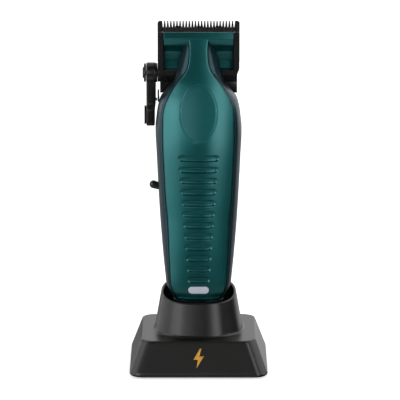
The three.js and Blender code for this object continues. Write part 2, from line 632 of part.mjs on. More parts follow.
// Slide that carries the comb: a cross bar for the two screws, and a slotted tongue for the lever's pin.
function bladeBracket() {
  const [z0, z1] = [bladeScrew.z - 3.6, bladeScrew.z + 2.6];
  const back = combFront - GAP;
  const bar = block(-cheekInner + GAP + 0.4, cheekInner - GAP - 0.4, bracketFront, back, z0, z1);
  const pinY = lever.y + taper.offset * Math.cos(rad(taper.restDeg));
  const pinZ = lever.z + taper.offset * Math.sin(rad(taper.restDeg));
  const [x0, x1] = [taper.end + GAP, taper.end + taper.pinLength - GAP];
  const tongue = block(x0, x1, pinY - 1.6, back - 0.2, pinZ - taper.pin - 1.2, z0 + 0.5);
  const reach = taper.pin + 0.2;
  const slot = block(x0 - 1, x1 + 1, pinY - 2.5, pinY + reach + GAP, pinZ - reach, pinZ + reach);
  return cut(join(bar, tongue), slot, ...bladeScrewHoles());
}

function bladeScrewSolid(s) {
  const [x, z] = [s * bladeScrew.x, bladeScrew.z];
  const seat = combBack + GAP;
  const shape = join(rodY(bladeScrew.head, seat, seat + 1.5, x, z, 24),
    rodY(bladeScrew.shank, bracketFront, seat + 0.2, x, z, 12));
  return cut(shape, block(x - 2.4, x + 2.4, seat + 0.8, seat + 3, z - 0.4, z + 0.4));
}

add("head_frame", headFrame(), BLACK);
add("comb_blade", combBlade(), BLADE);
add("cutter_blade", cutterBlade(), BLADE);
add("cutter_yoke", cutterYoke(), BLACK);
add("blade_bracket", bladeBracket(), STEEL);
sides.forEach(([side, s]) => add(`blade_screw_${side}`, bladeScrewSolid(s), STEEL));

// ---- Drive and power ----------------------------------------------------------------------
const canTop = motor.bottom + motor.length;

function motorCan() {
  const { radius, length, bottom } = motor;
  const profile = [[0, 0], [radius - 1, 0], [radius, 1], [radius, length], [0, length]];
  const turned = new THREE.LatheGeometry(profile.map(([r, z]) => new THREE.Vector2(r, z)), 28);
  const can = solid(turned.rotateX(Math.PI / 2).translate(0, drive.y, bottom));
  return cut(can, ...motorScrewHoles(), rodZ(drive.shaft + GAP, canTop - 3, canTop + 1, 0, drive.y, 12));
}

const motorScrewX = 7.6;
const motorScrewHoles = () => sides.map(([, s]) =>
  rodZ(1 + GAP, canTop - 3, canTop + 9, s * motorScrewX, drive.y, 12));

function motorPlate() {
  const low = canTop + GAP;
  const slab = extrudeZ(roundedRect(27, 20, 4), low, low + 1.4, 0, drive.y);
  return cut(slab, ...motorScrewHoles(), rodZ(drive.shaft + 1, low - 1, low + 3, 0, drive.y, 14));
}

function motorScrewSolid(s) {
  const seat = canTop + 2 * GAP + 1.4;
  const x = s * motorScrewX;
  return join(rodZ(1.9, seat, seat + 1.1, x, drive.y, 14),
    rodZ(1, canTop - 2.6, seat + 0.2, x, drive.y, 10));
}

function eccentricCam() {
  const disc = cut(rodZ(drive.cam, drive.camZ, drive.camZ + 3, 0, drive.y, 24),
    rodZ(drive.shaft + GAP, drive.camZ - 1, drive.camZ + 2, 0, drive.y, 14));
  const pinTop = drive.forkZ + yoke.forkHeight;
  return join(disc, rodZ(drive.pin, drive.camZ + 2.8, pinTop, 0, drive.y + drive.throw, 14));
}

function camBearing() {
  const [z0, z1] = [drive.forkZ, drive.forkZ + yoke.forkHeight - 0.6];
  const y = drive.y + drive.throw;
  return cut(rodZ(drive.bearing, z0, z1, 0, y, 18), rodZ(drive.pin + GAP, z0 - 1, z1 + 1, 0, y, 14));
}

function batteryCell() {
  const cell = rodZ(battery.radius, battery.bottom, battery.bottom + battery.length, 0, battery.y, 28);
  return join(cell, rodZ(2.8, battery.bottom, battery.bottom + battery.length + 1, 0, battery.y, 14));
}

function batteryTray() {
  const [[, lowScrew], [, highScrew]] = housingScrewPlaces;
  const reach = housingScrew.boss + 1;
  const tray = block(-10.6, 10.6, battery.y + 1, 30, lowScrew + reach, highScrew - reach)
    .intersect(loft([40, 60, 84, 120], (z) => bodyRing(z, WALL + 0.4)));
  const room = rodZ(battery.radius + GAP, 40, 120, 0, battery.y, 28);
  const trim = block(-20, 20, battery.y + battery.radius + 1.8, 40, 30, 130);
  return cut(tray, room, trim);
}

function circuitBoard() {
  return block(-board.halfWidth, board.halfWidth, board.y, board.y + board.thick, board.bottom, board.top);
}

const ledChip = () => block(-3.2, 3.2, board.y - GAP - 0.8, board.y - GAP, light.z - 0.9, light.z + 0.9);

add("motor_can", motorCan(), STEEL);
add("motor_plate", motorPlate(), STEEL);
sides.forEach(([side, s]) => add(`motor_screw_${side}`, motorScrewSolid(s), STEEL));
add("motor_shaft", rodZ(drive.shaft, canTop - 2.6, drive.camZ + 1.6, 0, drive.y, 14), STEEL);
add("eccentric_cam", eccentricCam(), STEEL);
add("cam_bearing", camBearing(), BRASS);
add("battery_cell", batteryCell(), CELL);
add("battery_tray", batteryTray(), BLACK);
add("circuit_board", circuitBoard(), BOARD);
add("led", ledChip(), LENS);

// ---- Taper lever and power switch -----------------------------------------------------------
const leverInner = -(head.halfWidth + lever.clear);
const leverOuter = leverInner - lever.thick;
const detentOuter = -(head.halfWidth + 0.1);
const detentZ = lever.z - detent.radius;

function taperLever() {
  const half = lever.width / 2;
  const arm = new THREE.Shape();
  arm.moveTo(lever.hub * Math.cos(rad(-35)), lever.hub * Math.sin(rad(-35)));
  arm.absarc(0, 0, lever.hub, rad(-35), rad(215));
  arm.lineTo(-half, -lever.reach + tab.height);
  arm.lineTo(-tab.width / 2, -lever.reach + tab.height - 2);
  arm.absarc(2 - tab.width / 2, 2 - lever.reach, 2, Math.PI, 1.5 * Math.PI);
  arm.absarc(tab.width / 2 - 2, 2 - lever.reach, 2, -Math.PI / 2, 0);
  arm.lineTo(tab.width / 2, -lever.reach + tab.height - 2);
  arm.lineTo(half, -lever.reach + tab.height);
  const body = extrudeX(arm, leverOuter, leverInner, 10).translate([0, lever.y, lever.z]);
  const [low, high] = [lever.z - lever.reach, lever.z - lever.reach + tab.height - 1];
  const padHalf = tab.width / 2 - 1;
  const pad = block(leverOuter - tab.out, leverOuter + 0.5, lever.y - padHalf, lever.y + padHalf,
    low + 0.6, high);
  const boss = rodX(lever.hub - GAP, leverInner - 0.5, -head.halfWidth - GAP, lever.y, lever.z, 24);
  const handRoom = block(leverInner - tab.clear, 0, -30, 40, low - 5, detentZ - 3);
  const bore = rodX(taper.shaft + GAP, -40, 0, lever.y, lever.z);
  return cut(join(body, pad, boss), handRoom, bore, detentPinBore());
}

const detentPinBore = () => rodX(detent.pin + GAP, leverInner - 2.3, 0, lever.y, detentZ, 14);
const leverDetentPin = () => rodX(detent.pin, leverInner - 2, detentOuter - GAP, lever.y, detentZ, 14);

function leverShaft() {
  const pinY = lever.y + taper.offset * Math.cos(rad(taper.restDeg));
  const pinZ = lever.z + taper.offset * Math.sin(rad(taper.restDeg));
  const shaft = rodX(taper.shaft, leverOuter + 0.5, taper.end, lever.y, lever.z);
  const neck = rodX(taper.pin, taper.end - 1, taper.end + taper.pinLength, pinY, pinZ, 14);
  return cut(join(shaft, neck), rodX(1.5, -40, leverInner + 2, lever.y, lever.z, 12));
}

function leverScrew() {
  const face = leverOuter - GAP;
  const shape = join(rodX(lever.hub - 0.5, face - 1.1, face, lever.y, lever.z, 24),
    rodX(3.2, face - 1.8, face - 1, lever.y, lever.z, 20),
    rodX(1.2, face - 0.5, leverInner + 1.6, lever.y, lever.z, 12));
  return cut(shape, block(-40, face - 1, lever.y - 0.45, lever.y + 0.45, lever.z - 2.4, lever.z + 2.4));
}

// Arc of notched steel under the lever; the pin in the arm clicks along it.
function detentPlate() {
  const [r0, r1] = [detent.radius - detent.halfBand, detent.radius + detent.halfBand];
  const [from, to] = [rad(-90 - detent.sweep - 7), rad(-90 + 7)];
  const arc = new THREE.Shape();
  arc.absarc(0, 0, r1, from, to);
  arc.absarc(0, 0, r0, to, from, true);
  const band = extrudeX(arc, detentOuter, detentOuter + detent.thick, 10).translate([0, lever.y, lever.z]);
  const steps = spread(0, detent.sweep, 4).map((a) => {
    const t = rad(-90 - a);
    const [y, z] = [detent.radius * Math.cos(t), detent.radius * Math.sin(t)];
    return rodX(detent.pin - 0.2, -40, 0, lever.y + y, lever.z + z, 10);
  });
  return cut(band, ...steps);
}

function powerToggle() {
  const tip = new THREE.SphereGeometry(toggle.radius, 14, 8).translate(-toggle.length + toggle.radius, 0, 0);
  const stem = rodX(toggle.radius, -toggle.length + toggle.radius, -1.5, 0, 0, 14);
  const ball = rodY(2.6, -2.2, 2.2, 0, 0, 20);
  const bat = join(solid(tip), stem, ball).rotate([0, toggle.restDeg, 0]);
  return bat.translate([toggle.x, toggle.y, toggle.z]);
}

function switchBody() {
  const [x, y, z] = [toggle.x, toggle.y, toggle.z];
  const box = block(x - 1.6, x + 4.4, y - 3.6, y + 3.6, z - 6, z + 6);
  const room = block(x - 3, x + 2.6 + GAP, y - 2.6, y + 2.6, z - 4.8, z + 4.8);
  return cut(box, room);
}

add("taper_lever", taperLever(), BLACK);
add("lever_shaft", leverShaft(), STEEL);
add("lever_screw", leverScrew(), BLACK);
add("lever_detent_pin", leverDetentPin(), STEEL);
add("detent_plate", detentPlate(), BLADE);
add("power_toggle", powerToggle(), BLACK);
add("switch_body", switchBody(), BLACK);

export default group;
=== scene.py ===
# %% [markdown]
# A cordless hair clipper stands in its charging stand. The working model (sizes, bodies, joints)
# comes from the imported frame. This lesson puts a finer skin on it: each visible shell is worked out
# again as a smooth surface with numpy, in the same place and size, and each piece gets a finish
# built from shader nodes. All shapes are worked out in millimetres and turned into metres when they
# become a mesh.

# %% Load the frame
import math

import bmesh
import bpy
import numpy as np
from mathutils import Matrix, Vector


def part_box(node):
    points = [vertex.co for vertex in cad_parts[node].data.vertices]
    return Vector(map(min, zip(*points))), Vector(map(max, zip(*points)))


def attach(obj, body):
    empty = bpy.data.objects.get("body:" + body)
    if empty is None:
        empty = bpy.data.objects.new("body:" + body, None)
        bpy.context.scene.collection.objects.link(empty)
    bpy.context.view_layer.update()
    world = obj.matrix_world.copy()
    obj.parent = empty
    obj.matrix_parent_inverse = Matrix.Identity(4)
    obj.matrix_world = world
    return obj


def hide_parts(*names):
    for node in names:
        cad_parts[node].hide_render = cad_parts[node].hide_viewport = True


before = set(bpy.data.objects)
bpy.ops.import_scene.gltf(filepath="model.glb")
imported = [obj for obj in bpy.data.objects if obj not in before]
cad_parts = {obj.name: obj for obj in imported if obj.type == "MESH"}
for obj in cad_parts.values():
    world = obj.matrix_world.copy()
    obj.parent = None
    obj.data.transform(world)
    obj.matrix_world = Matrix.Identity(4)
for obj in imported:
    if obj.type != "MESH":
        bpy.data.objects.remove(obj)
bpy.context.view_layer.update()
MM = 0.001


# %% [markdown]
# The frame tells where every working piece is. A piece's box, in millimetres, is asked for by its
# name, so that nothing here needs a second copy of a place or a size that the frame already holds.
# Heights are counted from a line 2.4 mm above the table, as in the working model's own drawing, and
# finished meshes are lifted by that much.

# %% Boxes of the working pieces
TABLE_Z = -2.4
LIFT = np.array([0, 0, -TABLE_Z])


def box_mm(node):
    """Lowest and highest corner of a working piece, in millimetres, in the drawing's heights."""
    lo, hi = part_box(node)
    return np.array(lo) / MM - LIFT, np.array(hi) / MM - LIFT


STAND_LO, STAND_HI = box_mm("stand_shell")
COVER_LO, COVER_HI = box_mm("front_cover")
REAR_LO, REAR_HI = box_mm("rear_housing")
TAIL_LO, TAIL_HI = box_mm("tail_cap")
LEVER_LO, LEVER_HI = box_mm("taper_lever")
print("stand", STAND_HI - STAND_LO, "clipper cover", COVER_HI - COVER_LO)


# %% [markdown]
# Seen from well back through a long lens, a tall object's edges stay nearly parallel. The camera
# looks down by twelve degrees, at a point 3 mm below the middle of clipper and stand together. From
# close by, the head would look too big for the foot, because it is nearer to a camera that looks
# down.

# %% Camera
VIEW_TILT = math.radians(12)
VIEW_DISTANCE = 1.9
VIEW_WIDTH = 0.2273  # metres from side to side that are seen at the object
aim = np.array([0.0008, 0.0, 0.0949])
eye = aim + VIEW_DISTANCE * np.array([0, -math.cos(VIEW_TILT), math.sin(VIEW_TILT)])
camera_data = bpy.data.cameras.new("camera")
camera_data.lens = camera_data.sensor_width * VIEW_DISTANCE / VIEW_WIDTH
camera = bpy.data.objects.new("camera", camera_data)
camera.location = eye
camera.rotation_euler = (math.pi / 2 - VIEW_TILT, 0, 0)
bpy.context.collection.objects.link(camera)
bpy.context.scene.camera = camera
bpy.context.scene.view_settings.view_transform = "Standard"
print("lens", round(camera_data.lens), "mm")


# %% [markdown]
# Smooth profiles. A clipper's outline is a list of widths and depths at a few heights. Straight
# lines between them would show as facets, so a cubic Hermite curve runs through them: at each
# height it has the slope of the line between its two neighbours. The working model uses the same
# rule, so both shapes agree.

# %% Profiles of the clipper
def curve(*stations):
    """Function of height z through (z, value) stations: cubic Hermite spans, level outside."""
    zs, vs = np.array(stations, float).T
    before = np.maximum(np.arange(len(zs)) - 1, 0)
    after = np.minimum(np.arange(len(zs)) + 1, len(zs) - 1)
    slopes = (vs[after] - vs[before]) / (zs[after] - zs[before])

    def value(z):
        z = np.clip(z, zs[0], zs[-1])
        i = np.clip(np.searchsorted(zs, z, side="right") - 1, 0, len(zs) - 2)
        span = zs[i + 1] - zs[i]
        t = (z - zs[i]) / span
        s = 1 - t
        start = s * s * (1 + 2 * t) * vs[i] + s * s * t * span * slopes[i]
        return start + t * t * (3 - 2 * t) * vs[i + 1] - t * t * s * span * slopes[i + 1]

    return value


half_width = curve(
    (39, 15.2), (41, 16.9), (44, 18.3), (50, 19), (60, 20), (81, 21.7), (100, 22.8), (120, 23.8),
    (134, 24.4), (143, 23.6), (148, 22.7), (152.5, 21.2), (156.5, 18.2), (160, 15), (165, 12.8),
    (169.5, 12.2), (174, 10.9), (180, 8.6), (186, 6.6))
panel_half = curve(
    (39, 12.6), (42, 14.6), (46, 15.8), (60, 16.6), (84, 17.6), (96, 18.7), (113, 19.6),
    (127, 20.2), (141, 20.2), (146, 19.8), (150, 18.7), (155, 16.4), (161.5, 12.2), (165.8, 8.7),
    (169.5, 6.5),
    (174, 5.5), (180, 5.3), (186, 6))
front_line = curve(
    (39, -15.5), (50, -17.2), (70, -18.8), (100, -19.8), (125, -19.8), (140, -18.6), (150, -16.8),
    (160, -13.6), (170, -9.4), (180, -5), (186, -2.5), (189, -1))
crown = curve(
    (39, 3.4), (60, 4.4), (120, 5), (145, 4.6), (155, 3), (163, 1.2), (170, 0.5), (186, 0.4))
rear_line = curve((39, 15.5), (50, 17.4), (80, 19.8), (120, 21.5), (140, 21), (153, 19), (186, 12))
cup_half = curve((15, 25.7), (21, 24.7), (28, 23.4), (35, 22.2), (42, 20.9), (50, 19.4))
tail_half = curve((24, 12.4), (25, 13.4), (28, 14.3), (39, 14.9))
PART_Y = 1  # the clipper is widest here
WALL = 2
SEAM = 0.12  # half of the fine gap between front cover and rear housing
print("widest:", half_width(134.0) * 2, "mm")


# %% [markdown]
# One helper turns an array of sections into a mesh. Section i is a closed loop of points, the next
# section lies beside it, and the quads between them are found with index arithmetic on whole
# arrays, so even a grid with fifty thousand faces is made at once. The ends get one flat face each,
# or the last section joins the first.

# %% From sections to a mesh
def skin_faces(n, m, wrap=False):
    """Quad corners between n sections of m points; wrap joins the last section to the first."""
    rows = np.arange(n if wrap else n - 1)[:, None]
    cols = np.arange(m)[None, :]
    a, b = rows * m + cols, rows * m + (cols + 1) % m
    c, d = ((rows + 1) % n) * m + (cols + 1) % m, ((rows + 1) % n) * m + cols
    return np.stack([a, b, c, d], -1).reshape(-1, 4)


class Builder:
    """Collects closed surfaces in millimetres and makes one object of them."""

    def __init__(self):
        self.points, self.faces, self.count = [], [], 0

    def skin(self, sections, wrap=False):
        """Adds a surface through sections[i, j] = (x, y, z): each section is a closed loop."""
        n, m = sections.shape[:2]
        faces = (skin_faces(n, m, wrap) + self.count).tolist()
        if not wrap:
            faces.append(list(range(self.count + m - 1, self.count - 1, -1)))
            faces.append(list(range(self.count + (n - 1) * m, self.count + n * m)))
        self.points.append(sections.reshape(-1, 3))
        self.faces.extend(faces)
        self.count += n * m
        return self

    def make(self, name, sharp=35):
        """Joins doubles, turns faces outwards and returns the new object, its place in its mesh."""
        mesh = bpy.data.meshes.new(name)
        mesh.from_pydata(((np.concatenate(self.points) + LIFT) * MM).tolist(), [], self.faces)
        made = bmesh.new()
        made.from_mesh(mesh)
        bmesh.ops.remove_doubles(made, verts=made.verts, dist=1e-6)
        bmesh.ops.dissolve_degenerate(made, edges=made.edges, dist=1e-7)
        bmesh.ops.recalc_face_normals(made, faces=made.faces)
        made.to_mesh(mesh)
        made.free()
        mesh.polygons.foreach_set("use_smooth", np.ones(len(mesh.polygons), bool))
        mesh.set_sharp_from_angle(angle=math.radians(sharp))
        piece = bpy.data.objects.new(name, mesh)
        bpy.context.collection.objects.link(piece)
        return piece


def points3(x, y, z):
    """Stacks three arrays, stretched to one shape, into points."""
    return np.stack(np.broadcast_arrays(x, y, z), -1).astype(float)


def carve(piece, *cutters, operation="DIFFERENCE"):
    """Cuts the cutters out of a piece and removes them: holes are what a grid can't make."""
    for cutter in cutters:
        cut = piece.modifiers.new("cut", "BOOLEAN")
        cut.operation, cut.solver, cut.object = operation, "EXACT", cutter
    depsgraph = bpy.context.evaluated_depsgraph_get()
    result = bpy.data.meshes.new_from_object(piece.evaluated_get(depsgraph))
    piece.modifiers.clear()
    piece.data = result
    result.polygons.foreach_set("use_smooth", np.ones(len(result.polygons), bool))
    result.set_sharp_from_angle(angle=math.radians(35))
    for cutter in cutters:
        bpy.data.objects.remove(cutter)
    return piece


def settle(piece, body, slot, *nodes):
    """The piece rides on a body and stands for working pieces, which are hidden; slot is not used."""
    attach(piece, body)
    if nodes:
        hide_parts(*nodes)
    print(f"{piece.name}: {len(piece.data.polygons)} faces on {body}")
    return piece


# %% [markdown]
# Loops that many pieces share: a square with round corners, a superellipse (an oval with flattened
# sides, as cups and caps have) and a stadium. The first two have the same number of points in each
# quarter, so that one surface can run from the stand's square foot to its oval cup. Curve objects
# could draw them too, but an array can be joined, moved and measured at once.

# %% Loops
def quarter_to_loop(x, y):
    """Mirrors a quarter, from the +X axis to the +Y axis, into a whole loop."""
    half_x = np.concatenate([x, -x[..., -2::-1]], -1)
    half_y = np.concatenate([y, y[..., -2::-1]], -1)
    return (np.concatenate([half_x, half_x[..., -2:0:-1]], -1),
            np.concatenate([half_y, -half_y[..., -2:0:-1]], -1))


def square_loop(half, radius, steps=48):
    """Rounded square: straight, then a quarter circle, then straight again in each quarter."""
    half, radius = np.asarray(half, float)[..., None], np.asarray(radius, float)[..., None]
    f = np.linspace(0, 1, steps + 1)
    run = np.clip(f / 0.34, 0, 1)
    turn = np.clip((f - 0.34) / 0.32, 0, 1) * math.pi / 2
    back = np.clip((1 - f) / 0.34, 0, 1)
    core = half - radius
    x = np.where(f < 0.5, core, core * back) + radius * np.cos(turn)
    y = np.where(f < 0.5, core * run, core) + radius * np.sin(turn)
    return quarter_to_loop(x, y)


def oval_loop(a, b, power, steps=48):
    """Superellipse |x/a|^power + |y/b|^power = 1, by angle."""
    a, b = np.asarray(a, float)[..., None], np.asarray(b, float)[..., None]
    t = np.linspace(0, math.pi / 2, steps + 1)
    c, s = np.cos(t), np.sin(t)
    reach = (c ** power + s ** power) ** (-1 / power)
    x, y = reach * c, reach * s
    x[-1] = y[0] = 0
    return quarter_to_loop(a * x, b * y)


def stadium_loop(half_x, half_y, steps=12):
    """A slot's outline: two half circles joined by straight sides, longer along x."""
    t = np.linspace(-math.pi / 2, math.pi / 2, steps + 1)
    core = half_x - half_y
    x = np.concatenate([core + half_y * np.cos(t), -core - half_y * np.cos(t)])
    y = np.concatenate([half_y * np.sin(t), -half_y * np.sin(t)])
    return x, y


def rod(axis, centre, radius, lo, hi, sides=32, bevel=0.0):
    """Sections of a round rod along an axis (0, 1 or 2); centre gives the two other coordinates."""
    t = np.linspace(0, 2 * math.pi, sides, endpoint=False)
    ends = [(lo, radius - bevel), (lo + bevel, radius), (hi - bevel, radius), (hi, radius - bevel)]
    if bevel == 0:
        ends = [(lo, radius), (hi, radius)]
    u, v = [k for k in range(3) if k != axis]
    sections = np.zeros((len(ends), sides, 3))
    for i, (place, r) in enumerate(ends):
        sections[i, :, axis] = place
        sections[i, :, u] = centre[0] + r * np.cos(t)
        sections[i, :, v] = centre[1] + r * np.sin(t)
    return sections


print("loop points:", square_loop(10, 2)[0].shape[-1], oval_loop(10, 8, 2.5)[0].shape[-1])


# %% [markdown]
# Some shapes stay flat with soft edges: levers, marks, lenses. Their outline is pushed along one
# axis, and near both faces it is pulled in along its own normals by r(1 - cos a), which rounds the
# edges like a quarter circle.

# %% Flat pieces with rounded edges
def inset_outline(u, v, distance):
    """Moves a closed anticlockwise outline inwards along normals found from its neighbours."""
    du, dv = np.roll(u, -1) - np.roll(u, 1), np.roll(v, -1) - np.roll(v, 1)
    length = np.hypot(du, dv)
    return u - distance * dv / length, v + distance * du / length


def pressed(axis, u, v, lo, hi, edge, steps=5):
    """Sections of an outline (u, v) pushed along an axis from lo to hi, with rounded edges."""
    turn = np.linspace(0, math.pi / 2, steps)
    rise, pull = edge * np.sin(turn), edge * (1 - np.cos(turn))
    places = np.concatenate([lo + edge - rise[::-1], hi - edge + rise])
    pulls = np.concatenate([pull[::-1], pull])
    first, second = [k for k in range(3) if k != axis]
    sections = np.zeros((2 * steps, len(u), 3))
    for i, (place, distance) in enumerate(zip(places, pulls)):
        sections[i, :, axis] = place
        sections[i, :, first], sections[i, :, second] = inset_outline(u, v, distance)
    return sections


def softened(node, width, angle=35):
    """A copy of a working piece: doubles merged, flat faces joined, edges bevelled."""
    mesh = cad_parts[node].data.copy()
    mesh.name = node + "_skin"
    made = bmesh.new()
    made.from_mesh(mesh)
    bmesh.ops.remove_doubles(made, verts=made.verts, dist=2e-6)
    bmesh.ops.dissolve_limit(made, angle_limit=math.radians(0.5), verts=made.verts,
                             edges=made.edges)
    made.to_mesh(mesh)
    made.free()
    mesh.materials.clear()
    mesh.polygons.foreach_set("use_smooth", np.ones(len(mesh.polygons), bool))
    mesh.set_sharp_from_angle(angle=math.radians(angle))
    piece = bpy.data.objects.new(node + "_skin", mesh)
    bpy.context.collection.objects.link(piece)
    bevel = piece.modifiers.new("edges", "BEVEL")
    bevel.width, bevel.segments, bevel.limit_method = width * MM, 2, "ANGLE"
    bevel.angle_limit, bevel.harden_normals = math.radians(angle), True
    return piece


six = np.arange(6) * math.pi / 3
inner_six = inset_outline(np.cos(six), np.sin(six), 0.1)
print("hexagon of radius 1, moved in by 0.1:", round(float(inner_six[0][0]), 2))


# %% [markdown]
# Finishes. Each material is a Principled shader whose colour, roughness and bump come from noise
# worked out on Object coordinates, so a pattern is fixed to the piece and has its true size. Values
# that are the same all over, such as metallic or coat, are set on the shader's own sockets. The
# noise scales are per metre: 1000 means one feature per millimetre.

# %% A helper for finishes
def finish(name, colour, rough, metallic=0.0, coat=0.0, coat_rough=0.1, tint=0.12, patch=60,
           grain=1500, bump=0.05, rough_spread=0.06, squeeze=(1, 1, 1), specular=0.5):
    """Shader with soft colour patches and a fine grain; squeeze packs both along an axis."""
    material = bpy.data.materials.new(name + "_finish")
    material.use_nodes = True
    nodes, link = material.node_tree.nodes, material.node_tree.links.new
    shader = nodes["Principled BSDF"]
    place = nodes.new("ShaderNodeTexCoord")
    scale = nodes.new("ShaderNodeMapping")
    scale.inputs["Scale"].default_value = squeeze
    link(place.outputs["Object"], scale.inputs["Vector"])

    def noise(size, detail):
        pattern = nodes.new("ShaderNodeTexNoise")
        pattern.inputs["Scale"].default_value = size
        pattern.inputs["Detail"].default_value = detail
        link(scale.outputs["Vector"], pattern.inputs["Vector"])
        return pattern.outputs["Fac"]

    patches, grains = noise(patch, 3), noise(grain, 2)
    ramp = nodes.new("ShaderNodeValToRGB")
    for stop, factor, at in zip(ramp.color_ramp.elements, (1 - tint, 1 + tint), (0.3, 0.7)):
        stop.position = at
        stop.color = [min(channel * factor, 1) for channel in colour] + [1]
    link(patches, ramp.inputs["Fac"])
    link(ramp.outputs["Color"], shader.inputs["Base Color"])
    spread = nodes.new("ShaderNodeMapRange")
    spread.inputs["To Min"].default_value = rough - rough_spread
    spread.inputs["To Max"].default_value = rough + rough_spread
    link(grains, spread.inputs["Value"])
    link(spread.outputs["Result"], shader.inputs["Roughness"])
    relief = nodes.new("ShaderNodeBump")
    relief.inputs["Strength"].default_value = 1.0
    relief.inputs["Distance"].default_value = bump * MM
    link(grains, relief.inputs["Height"])
    link(relief.outputs["Normal"], shader.inputs["Normal"])
    shader.inputs["Metallic"].default_value = metallic
    shader.inputs["Coat Weight"].default_value = coat
    shader.inputs["Coat Roughness"].default_value = coat_rough
    shader.inputs["Specular IOR Level"].default_value = specular
    return material


def paint(material, *pieces):
    """Gives a finish to pieces; a name stands for the working piece of that name."""
    for piece in pieces:
        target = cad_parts[piece] if isinstance(piece, str) else piece
        target.data.materials.clear()
        target.data.materials.append(material)


SATIN_BLACK = finish("satin_black", (0.0034, 0.003, 0.0027), 0.31, bump=0.012, grain=2200, patch=45)
GLOSS_BLACK = finish("gloss_black", (0.007, 0.007, 0.0075), 0.24, bump=0.004, grain=1800, patch=80)
RUBBER = finish("rubber", (0.012, 0.012, 0.012), 0.75, bump=0.02, grain=1500)
LENS = finish("lens", (0.36, 0.38, 0.44), 0.32, bump=0.003, grain=900, tint=0.04)
print("plastic finishes made")


# %% [markdown]
# The panel is lacquered in metallic teal: a coloured metal-flake layer under clear lacquer. The
# flakes tip each way a little, which a fine noise gives as a bump of a few thousandths of a
# millimetre. The rear shell has a darker graphite paint of the same kind. Steel and the blades'
# coating have their noise squeezed along Z, so that it draws out into lines across the piece, as
# grinding leaves them.

# %% Metallic paints and metals
TEAL = finish("teal_lacquer", (0.004, 0.106, 0.11), 0.37, metallic=0.92, coat=0.55, coat_rough=0.25,
              bump=0.0035, grain=3200, patch=25, tint=0.08, rough_spread=0.04)
GRAPHITE = finish("graphite_paint", (0.013, 0.042, 0.054), 0.38, metallic=0.75, coat=0.2,
                  coat_rough=0.25, bump=0.0035, grain=3200, patch=25, tint=0.1, rough_spread=0.04)
BLADE = finish("blade_coating", (0.05, 0.047, 0.044), 0.34, metallic=0.9, bump=0.006, grain=500,
               squeeze=(1, 1, 14), patch=120)
STEEL = finish("steel", (0.5, 0.5, 0.49), 0.3, metallic=1.0, bump=0.005, grain=900,
               squeeze=(1, 1, 6), patch=150)
BRASS = finish("contact_brass", (0.62, 0.43, 0.16), 0.28, metallic=1.0, bump=0.004, grain=1200,
               patch=200)
GOLD = finish("gold_mark", (0.62, 0.33, 0.045), 0.42, metallic=0.55, bump=0.004, grain=2500,
              patch=300)
BOARD = finish("board", (0.01, 0.09, 0.03), 0.45, bump=0.01, grain=700, patch=500, tint=0.25)
CELL = finish("cell_wrap", (0.03, 0.15, 0.4), 0.35, bump=0.004, grain=400, patch=90)
print("metal finishes made")


# %% [markdown]
# A dark glossy shell shows little colour of its own: what is seen on it is mostly the large soft
# boxes around it and the dark stretches between them. Area lamps could stand for the boxes. Here
# they are painted into the world instead: brightness as a function of the azimuth and elevation of
# a direction, with smooth edges, so that each highlight can be placed by its angle. The camera
# itself sees plain white behind the object.

# %% Surroundings
world = bpy.data.worlds.new("studio")
bpy.context.scene.world = world
world.use_nodes = True
sky, join = world.node_tree.nodes, world.node_tree.links.new
sky.clear()


def math_node(operation, a, b=0.0):
    """One Math node; a and b are numbers or outputs of other nodes."""
    node = sky.new("ShaderNodeMath")
    node.operation = operation
    for socket, value in zip(node.inputs, (a, b)):
        if isinstance(value, (int, float)):
            socket.default_value = value
        else:
            join(value, socket)
    return node.outputs[0]


def window(value, lo, hi, soft):
    """1 between lo and hi degrees, falling smoothly to 0 over soft degrees outside."""
    edges = []
    for at, outside in ((lo, lo - soft), (hi, hi + soft)):
        step = sky.new("ShaderNodeMapRange")
        step.interpolation_type = "SMOOTHSTEP"
        join(value, step.inputs["Value"])
        rising = at == lo
        step.inputs["From Min"].default_value = outside if rising else at
        step.inputs["From Max"].default_value = at if rising else outside
        step.inputs["To Min"].default_value = 0 if rising else 1
        step.inputs["To Max"].default_value = 1 if rising else 0
        edges.append(step.outputs["Result"])
    return math_node("MULTIPLY", *edges)


direction = sky.new("ShaderNodeTexCoord").outputs["Generated"]
split = sky.new("ShaderNodeSeparateXYZ")
join(direction, split.inputs[0])
dir_x, dir_y, dir_z = split.outputs
to_front = math_node("MULTIPLY", dir_y, -1)
azimuth = math_node("MULTIPLY", math_node("ARCTAN2", dir_x, to_front), 180 / math.pi)
elevation = math_node("MULTIPLY", math_node("ARCSINE", dir_z), 180 / math.pi)
turn_away = math_node("ABSOLUTE", azimuth)

